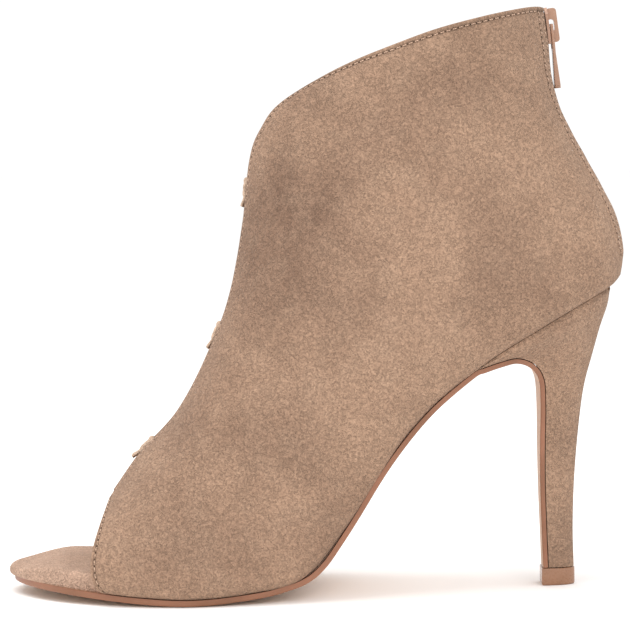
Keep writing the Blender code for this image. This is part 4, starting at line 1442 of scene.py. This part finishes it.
    def lining(self, side: Side) -> bpy.types.Object:
        """Builds the lining of one quarter, a thinner sheet behind the suede.

        Args:
            side: which quarter.

        Returns:
            The lining, a closed sheet that ends short of the suede's edges.
        """
        v, u = self.panel(side, self.lining_inset, self.rows // 2, self.columns // 2)
        base, normals = self.last.upper_frames(v, u)
        relief = self.relief(base, side)[..., None]
        outer = base + normals * (relief - self.lining_depth)
        return walled_sheet(f"lining_{side.name.lower()}", outer, normals, self.lining_thickness, 4)

    def build(self, finishes: dict[str, bpy.types.Material]) -> list[bpy.types.Object]:
        """Builds and dresses the quarters, the linings and the stitching.

        Args:
            finishes: the materials by name.

        Returns:
            The pieces.
        """
        seams = Seams()
        made = []
        for side in Side:
            quarter, lining = self.quarter(side, seams), self.lining(side)
            quarter.data.materials.append(finishes["suede"])
            lining.data.materials.append(finishes["lining"])
            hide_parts("upper")
            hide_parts("upper")
            made += [quarter, lining]
        return made + seams.build(finishes)


# The sole, the footbed and the heel


@dataclass
class Footbed:
    """The covered insole: a padded sheet whose round edge shows at the toe."""

    last: Last
    clearance: float = 0.3 * MM
    side_slack: float = 0.1 * MM
    along: tuple = (0.0, 22.0 * MM, 70.0 * MM, 150.0 * MM, 222.0 * MM)
    thickness: tuple = (2.8 * MM, 6.4 * MM, 6.2 * MM, 4.6 * MM, 4.0 * MM)
    rounding: float = 1.8 * MM
    nose: float = 3.0 * MM
    nose_under: float = 0.6
    stations: int = 180
    crown: float = 0.25 * MM

    def build(self, finishes: dict[str, bpy.types.Material]) -> list[bpy.types.Object]:
        """Builds and dresses the footbed.

        Each station has a section, flat below, with quarter rounds at its top edges and a slight crown
        between them. The ends are drawn in by a quarter circle.

        Args:
            finishes: the materials by name.

        Returns:
            The footbed.
        """
        last = self.last
        inset = last.wall + self.clearance + self.side_slack
        back = last.back_seam[0] * last.length - inset
        even = np.linspace(0, 1, self.stations)
        share = even - 0.93 * np.sin(2 * math.pi * even) / (2 * math.pi)
        x = 0.03 * MM + (back - 0.06 * MM) * share
        lateral, medial = (last.outline(side, x, -inset) for side in Side)
        thick = ease(x, self.along, self.thickness)
        end = np.minimum(1, np.minimum(x, back - x) / self.nose)
        tuck = (1 - np.sqrt(1 - (1 - end) ** 2)) * thick / 2
        low, high = self.clearance + tuck * self.nose_under, self.clearance + thick - tuck
        corner = np.minimum(np.minimum(self.rounding, 0.45 * (lateral + medial)), 0.45 * (high - low))
        a = np.linspace(0, math.pi / 2, 9)
        inner = np.linspace(-1, 1, 15)[1:-1]
        ring_y = [-lateral, medial]
        ring_up = [low, low]
        for angle in a:
            ring_y.append(medial - corner * (1 - math.cos(angle)))
            ring_up.append(high - corner * (1 - math.sin(angle)))
        for across in inner[::-1]:
            half = np.where(across > 0, medial, lateral) - corner
            ring_y.append(across * half)
            ring_up.append(high + self.crown * (1 - across**2) * end)
        for angle in a[::-1]:
            ring_y.append(-lateral + corner * (1 - math.cos(angle)))
            ring_up.append(high - corner * (1 - math.sin(angle)))
        y, up = np.stack(ring_y, 1), np.stack(ring_up, 1)
        place = last.bed(np.repeat(x[:, None], y.shape[1], 1), up)
        rings = np.stack([place[..., 0], y + last.swing(x)[:, None], place[..., 1]], -1)
        made = closed_loft("footbed", last.place(rings))
        made.data.materials.append(finishes["footbed"])
        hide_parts("insole")
        return [made]


@dataclass
class Outsole:
    """One strip of sole sheet from the toe under the foot bed, then down the breast of the heel."""

    last: Last
    thickness: float = 2.2 * MM
    breast_thickness: float = 1.7 * MM
    bevel: float = 0.5 * MM
    setback: float = 2.0 * MM
    margin: float = 0.5 * MM
    bend: float = 4.4 * MM
    lift: float = 0.3 * MM
    crown: float = 0.5 * MM
    toe_stations: int = 44
    toe_reach: float = 18.0 * MM
    spacing: float = 4.4 * MM
    breast_steps: int = 34
    between: int = 4

    def stations(self) -> Array:
        """Works out the rows that the sole runs through.

        Under the foot the line is the bed itself. From the heel's lip on it is the front line of the
        heel, whose half widths it takes.

        Returns:
            Rows of x, z, lateral half, medial half, middle, thickness and crown.
        """
        last = self.last
        lip = last.heel_rows[0][0] * last.length
        toe = self.setback + self.toe_reach * np.linspace(0.02, 1, self.toe_stations) ** 2.2
        waist = np.linspace(toe[-1], lip - self.bend, round((lip - self.bend - toe[-1]) / self.spacing))
        x = np.concatenate([toe, waist[1:]])
        place = last.bed(x, np.full(len(x), self.lift))
        lateral, medial = (last.outline(side, x, self.margin, self.setback) for side in Side)
        thick = np.interp(x, [last.ball_at, lip], [self.thickness, self.breast_thickness])
        crown = self.crown * np.interp(x / last.length, [0.45, 0.58], [0, 1])
        under = np.stack([place[:, 0], place[:, 1], lateral, medial, last.swing(x), thick, crown], 1)
        ranks = np.linspace(0, len(last.heel_rows) - 1, self.breast_steps)
        line, half = last.heel_line((0, 1), ranks), last.heel_half(ranks)
        crown = self.crown * 2 * half / last.seat_width
        breast = np.stack([line[:, 0], line[:, 1], half, half, 0 * half,
                           0 * half + self.breast_thickness, crown], 1)
        rows = np.concatenate([under, breast])
        return catmull(rows, np.linspace(0, len(rows) - 1, self.between * (len(rows) - 1) + 1))

    def build(self, finishes: dict[str, bpy.types.Material]) -> list[bpy.types.Object]:
        """Builds and dresses the sole.

        A section is flat on top, has a quarter round at each lower edge and a half ellipse of crown
        below, and nothing of it goes under the floor.

        Args:
            finishes: the materials by name.

        Returns:
            The sole.
        """
        rows = self.stations()
        normal = side_normals(rows[:, :2])
        lateral, medial, middle, thick, crown = rows[:, 2:].T
        bevel = np.minimum(self.bevel, 0.4 * lateral)
        ring = [(-lateral, 0 * thick), (-0.5 * lateral, 0 * thick), (0 * thick, 0 * thick),
                (0.5 * medial, 0 * thick), (medial - 0.15 * bevel, 0 * thick), (medial, -0.15 * bevel)]
        for angle in np.linspace(0, math.pi / 2, 4):
            ring.append((medial - bevel * (1 - math.cos(angle)), -thick + bevel * (1 - math.sin(angle))))
        edge_points = len(ring)
        for share in np.linspace(1, -1, 15)[1:-1]:
            half = np.where(share > 0, medial, lateral)
            ring.append((share * (half - bevel), -thick - crown * math.sqrt(1 - share**2)))
        bottom_points = len(ring)
        for angle in np.linspace(math.pi / 2, 0, 4):
            ring.append((-lateral + bevel * (1 - math.cos(angle)), -thick + bevel * (1 - math.sin(angle))))
        ring.append((-lateral, -0.15 * bevel))
        y = np.stack([a for a, _ in ring], 1) + middle[:, None]
        up = np.stack([b for _, b in ring], 1)
        x = rows[:, 0:1] + normal[:, 0:1] * up
        z = np.maximum(rows[:, 1:2] + normal[:, 1:2] * up, 0.0)
        points = self.last.place(np.stack([x, y, z], -1))
        made = closed_loft("outsole_strip", points, 40)
        made.data.materials.append(finishes["sole_edge"])
        made.data.materials.append(finishes["sole_bottom"])
        each = len(ring)
        number = np.arange(len(made.data.polygons))
        column = number % each
        bottom = (number < (len(rows) - 1) * each) & (column >= edge_points - 1) & (column < bottom_points)
        made.data.polygons.foreach_set("material_index", bottom.astype(np.int32))
        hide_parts("outsole")
        return [made]


@dataclass
class Heel:
    """The heel wrapped in suede, and the moulded tip that it stands on."""

    last: Last
    clearance: float = 0.3 * MM
    steps: int = 130
    side_points: int = 34
    squareness: tuple = (3.1, 2.3, 2.3)
    sole_thickness: float = 2.2 * MM
    tip_height: float = 6.3 * MM
    tip_bevel: float = 0.7 * MM
    tip_top_bevel: float = 0.35 * MM
    back_fill: float = 1.3 * MM
    seat_lift: float = 0.3 * MM

    def ring_shares(self, squareness: Array) -> tuple[Array, Array, Array]:
        """Works out rings with a flat breast and a squared half ellipse round the back.

        Args:
            squareness: the power of the ellipse for each ring.

        Returns:
            Shares from front to back, half width shares of each ring, and the signs of the sides.
        """
        even = np.linspace(0, 1, self.side_points)
        share = 1 - (1 - even) ** 2
        share = np.concatenate([share, share[-2::-1]])
        sign = np.concatenate([-np.ones(self.side_points), np.ones(self.side_points - 1)])
        half = np.sqrt(np.maximum(0, 1 - share ** np.asarray(squareness)[:, None]))
        return share, half, sign

    def wrapped(self) -> bpy.types.Object:
        """Builds the heel from the foot bed down to its foot, one ring at each step.

        Returns:
            The heel.
        """
        last = self.last
        count = len(last.heel_rows)
        ranks = np.linspace(0, count - 1, self.steps)
        fine = last.heel_line((0, 1), np.linspace(0, count - 1, 900))
        front, back = last.heel_line((0, 1), ranks), last.heel_line((2, 3), ranks)
        back[:, 0] += self.back_fill * np.exp(-ranks)
        nearest = np.argmin(np.linalg.norm(fine[None] - front[:, None], axis=2), 1)
        front = front + side_normals(fine)[nearest] * self.clearance
        squareness = np.interp(ranks, [0, 4, count - 1], self.squareness)
        share, half, sign = self.ring_shares(squareness)
        width = last.heel_half(ranks)[:, None]
        along = front[:, None] + (back - front)[:, None] * share[:, None]
        rings = np.stack([along[..., 0], sign * half * width, along[..., 1]], -1)
        seat_front = last.heel_rows[0][0] * last.length
        seat_back = last.back_seam[0] * last.length + 0.7 * self.back_fill
        x = seat_front + (seat_back - seat_front) * share
        halves = np.where(sign < 0, last.outline(Side.LATERAL, x, -self.clearance),
                          last.outline(Side.MEDIAL, x, -self.clearance))
        place = last.bed(x, np.full(len(x), self.seat_lift))
        seat = np.stack([place[:, 0], sign * halves, place[:, 1]], -1)
        return self.ladder_capped("suede_heel", np.concatenate([seat[None], rings]))

    def ladder_capped(self, name: str, rings: Array) -> bpy.types.Object:
        """Makes a solid through rings, with a ladder of faces across each end.

        Args:
            name: the piece's name.
            rings: points, before they are placed, shape (rings, points of a ring, 3).

        Returns:
            The solid.
        """
        count, each, _ = rings.shape
        faces = grid_faces(count, each, wrap=True).tolist()
        middle = self.side_points - 1
        for base in (0, (count - 1) * each):
            for i in range(middle - 1):
                faces.append([base + i, base + i + 1, base + each - 2 - i, base + each - 1 - i])
            faces.append([base + middle - 1, base + middle, base + middle + 1])
        return outward(mesh_piece(name, self.last.place(rings.reshape(-1, 3)), faces, 45))

    def tip(self) -> bpy.types.Object:
        """Builds the tip: the foot's ring, grown to the sole's face, with rounded edges.

        Returns:
            The tip.
        """
        last = self.last
        front_x, _ = last.heel_line((0, 1), [len(last.heel_rows) - 1])[0]
        back_x, _ = last.heel_line((2, 3), [len(last.heel_rows) - 1])[0]
        half = last.heel_half([len(last.heel_rows) - 1])[0]
        turn = np.linspace(0, math.pi / 2, 6)
        low = [(self.tip_bevel * (1 - math.cos(a)), self.tip_bevel * (1 - math.sin(a))) for a in turn]
        soft = self.tip_top_bevel
        high = [(self.tip_height - soft * (1 - math.cos(a)), soft * (1 - math.sin(a))) for a in turn[::-1]]
        share, ring_half, sign = self.ring_shares(np.full(1, self.squareness[-1]))
        rings = []
        for z, inset in [*low, *high]:
            front = front_x - self.sole_thickness + inset
            back = back_x + last.tip_overhang - inset
            y = sign * ring_half[0] * (half - inset)
            rings.append(np.stack([front + (back - front) * share, y, np.full(len(share), z)], -1))
        return self.ladder_capped("moulded_heel_tip", np.stack(rings))

    def build(self, finishes: dict[str, bpy.types.Material]) -> list[bpy.types.Object]:
        """Builds and dresses the heel and its tip.

        Args:
            finishes: the materials by name.

        Returns:
            The heel and the tip.
        """
        heel, tip = self.wrapped(), self.tip()
        heel.data.materials.append(finishes["suede"])
        tip.data.materials.append(finishes["tip"])
        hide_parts("heel")
        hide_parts("heel_tip")
        return [heel, tip]


# The zip


@dataclass
class Zip:
    """The zip at the back: woven tape, a coil of interlocked loops, the slider and its pull."""

    last: Last
    tape_gap: float = 0.7 * MM
    tape_width: float = 16.0 * MM
    tape_thickness: float = 0.7 * MM
    coil_proud: float = 0.4 * MM
    pitch: float = 1.45 * MM
    loop_radius: float = 0.36 * MM
    loop_depth: float = 0.42
    loop_half_width: float = 1.15 * MM
    loop_overlap: float = 0.5 * MM

    def tape(self) -> bpy.types.Object:
        """Builds the tape, a flat strip behind the slot that follows the back seam.

        Returns:
            The tape.
        """
        v = np.linspace(self.last.zip_end - 0.02, 0.985, 110)
        y = np.linspace(-1, 1, 33) * (self.tape_width / 2 - self.tape_thickness / 2)
        side = [np.sign(a) * self.last.share_off_middle(
            v, np.full(len(v), abs(a)), Side.MEDIAL if a > 0 else Side.LATERAL) for a in y]
        u = self.last.back + np.stack(side, 1)
        points, normals = self.last.upper_frames(np.repeat(v[:, None], len(y), 1), u)
        outer = points - normals * (self.last.wall + self.tape_gap)
        return walled_sheet("woven_zip_tape", outer, normals, self.tape_thickness, 4)

    def seam_frames(self) -> tuple[Array, Array, Array]:
        """Walks up the back seam by half pitches.

        Returns:
            Points, the ways out of the boot and the ways up the seam, each shape (n, 3).
        """
        v = np.linspace(self.last.zip_end + 0.014, 0.990, 600)
        line, out = self.last.upper_frames(v, np.full(len(v), float(self.last.back)))
        walked = np.concatenate([[0], np.cumsum(np.linalg.norm(np.diff(line, axis=0), axis=1))])
        at = np.arange(0.6 * self.pitch, walked[-1] - 0.6 * self.pitch, self.pitch / 2)
        place = np.stack([np.interp(at, walked, line[:, k]) for k in range(3)], 1)
        ways = np.stack([np.interp(at, walked, out[:, k]) for k in range(3)], 1) * [1, 0, 1]
        ways = unit(ways)
        return place, ways, np.stack([-ways[:, 2], 0 * ways[:, 1], ways[:, 0]], 1)

    def coil(self) -> bpy.types.Object:
        """Builds the coil: loops from the left and the right by turns.

        A loop runs up out of the tape, over to just past the middle, where it bulges, and back down.
        It is a tube carried along a flat half ellipse, the same for each, mirrored on every other.

        Returns:
            The coil.
        """
        place, out, up = self.seam_frames()
        turn = np.linspace(-0.12, 1.12, 13) * math.pi
        reach = self.loop_half_width * (1 - np.cos(turn)) - self.loop_overlap
        depth = (self.last.wall * self.loop_depth) * (np.sin(turn) - 1) + self.coil_proud - self.loop_radius
        swell = self.loop_radius * (1 + 0.35 * np.exp(-((turn - 0.15 * math.pi) / 0.5) ** 2))
        path = np.stack([depth, reach], 1)
        along = unit(np.gradient(path, axis=0))
        side = np.stack([-along[:, 1], along[:, 0]], 1)
        angle = np.linspace(0, 2 * math.pi, 7, endpoint=False)
        flat = path[:, None] + swell[:, None, None] * np.cos(angle)[None, :, None] * side[:, None]
        lift = swell[:, None] * np.sin(angle)[None, :]
        sign = np.where(np.arange(len(place)) % 2, 1.0, -1.0)[:, None, None]
        points = place[:, None, None] + out[:, None, None] * flat[None, ..., 0:1]
        points = points + up[:, None, None] * lift[None, ..., None]
        points[..., 1] += sign * flat[None, ..., 1]
        one = grid_faces(len(turn), len(angle), wrap=True)
        faces = (one[None] + np.arange(len(place))[:, None, None] * len(turn) * len(angle)).reshape(-1, 4)
        made = mesh_piece("nylon_zip_coil", points.reshape(-1, 3), faces, 70)
        return outward_each(made)

    def build(self, finishes: dict[str, bpy.types.Material]) -> list[bpy.types.Object]:
        """Builds and dresses the tape and the coil, and dresses the slider and the pull.

        Args:
            finishes: the materials by name.

        Returns:
            The tape and the coil.
        """
        tape, coil = self.tape(), self.coil()
        tape.data.materials.append(finishes["tape"])
        coil.data.materials.append(finishes["coil"])
        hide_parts("zip_tape")
        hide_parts("zip_coil")
        for name in ("zip_slider", "zip_pull"):
            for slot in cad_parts[name].material_slots:
                slot.material = finishes["metal"]
        return [tape, coil]


# The ties


@dataclass
class Tie:
    """A strip of suede drawn across the slit, knotted in it, with two short cut ends."""

    last: Last
    name: str
    share: float
    lean: float
    width: float = 4.4 * MM
    thickness: float = 1.0 * MM
    reach: float = 4.0 * MM
    rise: float = 2.2 * MM
    hidden: float = 3.67 * MM
    knot_length: float = 8.0 * MM
    knot_width: float = 5.0 * MM
    knot_depth: float = 3.4 * MM
    knot_sunk: float = 0.5 * MM
    strand: float = 1.2 * MM
    tail_length: float = 2.6 * MM
    tail_width: float = 2.6 * MM
    tail_start: float = 1.5 * MM
    tail_apart: float = 0.9 * MM
    tail_spread: float = 1.0 * MM
    tail_lift: float = 0.8 * MM

    def carry(self, local: Array) -> Array:
        """Carries points of the tie's own frame to the row frame.

        Args:
            local: distances out of the boot, sideways and up the slit, shape (..., 3).

        Returns:
            The points in the row frame.
        """
        middle, up, out = self.last.slit_point(self.share * (self.last.heel_height + self.last.shaft_height))
        side = np.array([0.0, 1.0, 0.0])
        return middle + local[..., 0:1] * out + local[..., 1:2] * side + local[..., 2:3] * up

    def strip(self, name: str, path: Array, width: Array, across: Array) -> bpy.types.Object:
        """Builds a flat strip, a rounded rectangle carried along a path.

        Args:
            name: the strip's name.
            path: points of its middle line in the tie's frame, shape (n, 3).
            width: its width at each point.
            across: the way that its wide side keeps to at each point.

        Returns:
            The strip.
        """
        along = unit(np.gradient(path, axis=0))
        wide = unit(across - (across * along).sum(1, keepdims=True) * along)
        thick = np.cross(along, wide)
        angle = np.linspace(0, 2 * math.pi, 20, endpoint=False)
        square_x = np.sign(np.cos(angle)) * np.abs(np.cos(angle)) ** 0.35
        square_y = np.sign(np.sin(angle)) * np.abs(np.sin(angle)) ** 0.6
        ring = (wide[:, None] * (square_x[None, :, None] * width[:, None, None] / 2)
                + thick[:, None] * (square_y[None, :, None] * self.thickness / 2))
        return closed_loft(name, self.carry(path[:, None] + ring), 60)

    def band(self) -> bpy.types.Object:
        """Builds the band, from inside one wall to inside the other.

        It is a squared cosine arch over the slit, gathered narrower at the knot.

        Returns:
            The band.
        """
        y = np.linspace(-1, 1, 61) * (self.last.slit_gap / 2 + self.reach)
        bend = self.last.slit_gap / 2 - 1.0 * MM
        arch = np.cos(math.pi / 2 * np.minimum(np.abs(y) / bend, 1)) ** 2
        drop = 0.06 * np.maximum(0, np.abs(y) - self.last.slit_gap / 2)
        out = -self.hidden + arch * self.rise - drop
        width = self.width * (1 - 0.35 * np.exp(-((y / (2.5 * MM)) ** 2)))
        path = np.stack([out, y, 0 * y], 1)
        return self.strip("band", path, width, np.broadcast_to([0.0, 0.0, 1.0], path.shape))

    def knot(self) -> bpy.types.Object:
        """Builds the knot, a strand carried along a trefoil that fills the knot's box.

        Returns:
            The knot.
        """
        t = np.linspace(0, 2 * math.pi, 121)
        flat = np.stack([-0.5 * np.sin(3 * t), (np.sin(t) + 2 * np.sin(2 * t)) / 3,
                         (np.cos(t) - 2 * np.cos(2 * t)) / 3], 1)
        room = np.array([self.knot_depth, self.knot_width, self.knot_length]) / 2 - self.strand
        span = (flat.max(0) - flat.min(0)) / 2
        centre = (flat.max(0) + flat.min(0)) / 2
        path = (flat - centre) / span * room - [self.knot_sunk, 0, 0]
        along = unit(np.roll(path[:-1], -1, 0) - np.roll(path[:-1], 1, 0))
        across = unit(np.cross(along, [1.0, 0.0, 0.0]) + 1e-6)
        thick = np.cross(along, across)
        angle = np.linspace(0, 2 * math.pi, 12, endpoint=False)[None, :, None]
        ring = across[:, None] * np.cos(angle) * self.strand + thick[:, None] * np.sin(angle) * self.strand
        points = self.carry(path[:-1, None] + ring)
        count, each = len(path) - 1, 12
        faces = grid_faces(count + 1, each, wrap=True) % (count * each)
        return outward(mesh_piece("knot", points.reshape(-1, 3), faces, 70))

    def tail(self, side: Side) -> bpy.types.Object:
        """Builds one cut end, which hangs from the knot and turns out a little.

        Args:
            side: which of the two ends.

        Returns:
            The end.
        """
        s = np.linspace(0, 1, 30)
        out = 0.1 * MM + self.tail_lift * s**2
        y = side.value * (self.tail_apart + self.tail_spread * s) + self.lean * MM * s**2
        up = -self.tail_start - (self.knot_length / 2 + self.tail_length - self.tail_start) * s
        width = self.tail_width * (0.7 + 0.3 * s) * (1 - 0.25 * np.clip((s - 0.93) / 0.07, 0, 1))
        across = np.stack([0.35 * side.value * s, 1 + 0 * s, 0 * s], 1)
        return self.strip("tail", np.stack([out, y, up], 1), width, across)

    def build(self, finishes: dict[str, bpy.types.Material]) -> list[bpy.types.Object]:
        """Builds and dresses the tie as one piece.

        Args:
            finishes: the materials by name.

        Returns:
            The tie.
        """
        made = join_pieces(f"suede_{self.name}", [self.band(), self.knot(), *[self.tail(s) for s in Side]])
        made.data.materials.append(finishes["lace"])
        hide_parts(self.name)
        return [made]


# The studio


@dataclass
class Studio:
    """A white seamless floor, a bright sky and soft lamps, and the camera of the photograph.

    The camera stands a metre from the middle of the boot, at its lateral side, and looks a little
    down. Distances are in metres and angles in degrees, and the lens and the sensor in millimetres.
    """

    distance: float = 1.0
    height: float = 0.175
    sideways: float = 0.9 * MM
    pitch: float = 4.357
    roll: float = -0.829
    lens: float = 159.2
    sensor: float = 36.0
    floor_half: float = 6.0
    sky: float = 1.06

    def camera(self) -> None:
        """Makes the camera: it looks along +Y, tipped down by its pitch and turned by its roll."""
        c, s = math.cos(math.radians(self.pitch)), math.sin(math.radians(self.pitch))
        ahead = np.array([0.0, c, -s])
        right = np.array([1.0, 0.0, 0.0])
        up = np.cross(right, ahead)
        c, s = math.cos(math.radians(self.roll)), math.sin(math.radians(self.roll))
        right, up = c * right + s * up, c * up - s * right
        data = bpy.data.cameras.new("photo_camera")
        data.lens = self.lens
        data.sensor_width = self.sensor
        data.clip_start = 0.05
        data.clip_end = 50.0
        made = bpy.data.objects.new("photo_camera", data)
        turn = Matrix(np.stack([right, up, -ahead], 1).tolist()).to_4x4()
        made.matrix_world = Matrix.Translation((self.sideways, -self.distance, self.height)) @ turn
        bpy.context.scene.collection.objects.link(made)
        bpy.context.scene.camera = made

    def lamp(self, name: str, place: tuple, target: tuple, size: float, power: float) -> None:
        """Makes a soft square lamp.

        Args:
            name: the lamp's name.
            place: where it stands.
            target: the point that it looks at.
            size: the length of its side in metres.
            power: its power in watts.
        """
        data = bpy.data.lights.new(name, "AREA")
        data.energy = power
        data.size = size
        made = bpy.data.objects.new(name, data)
        way = Vector(target) - Vector(place)
        made.matrix_world = Matrix.Translation(place) @ way.to_track_quat("-Z", "Y").to_matrix().to_4x4()
        bpy.context.scene.collection.objects.link(made)

    def build(self, finishes: dict[str, bpy.types.Material]) -> None:
        """Builds the floor, the sky, the lamps and the camera.

        Args:
            finishes: the materials by name.
        """
        size = self.floor_half
        floor = mesh_piece("studio_floor", [(-size, -size, 0), (size, -size, 0), (size, size, 0),
                                            (-size, size, 0)], [(0, 1, 2, 3)])
        floor.data.materials.append(finishes["floor"])
        world = bpy.data.worlds.new("white_sky")
        world.use_nodes = True
        world.node_tree.nodes["Background"].inputs["Color"].default_value = (1.0, 1.0, 1.0, 1.0)
        world.node_tree.nodes["Background"].inputs["Strength"].default_value = self.sky
        bpy.context.scene.world = world
        bpy.context.scene.view_settings.view_transform = "Standard"
        self.lamp("key_lamp", (0.35, -1.0, 0.8), (0, 0, 0.08), 0.7, 4.4)
        self.lamp("top_lamp", (-0.4, -0.1, 1.2), (-0.05, 0, 0.0), 0.8, 8.5)
        self.camera()


def main() -> None:
    """Builds the boot and its studio."""
    logging.basicConfig(level=logging.INFO, format="%(name)s: %(message)s")
    finishes = {name: getattr(Finishes(), name).make() for name in Finishes.__dataclass_fields__}
    last = Last()
    parts = [Upper(last), Footbed(last), Outsole(last), Heel(last), Zip(last),
             Tie(last, "front_tie_lower", 0.253, 0.3), Tie(last, "front_tie_middle", 0.450, -0.2),
             Tie(last, "front_tie_upper", 0.699, 0.25)]
    for part in parts:
        for piece in part.build(finishes):
            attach(piece, "boot")
            LOG.info("%s: %d faces", piece.name, len(piece.data.polygons))
    Studio().build(finishes)


if __name__ == "__main__":
    main()
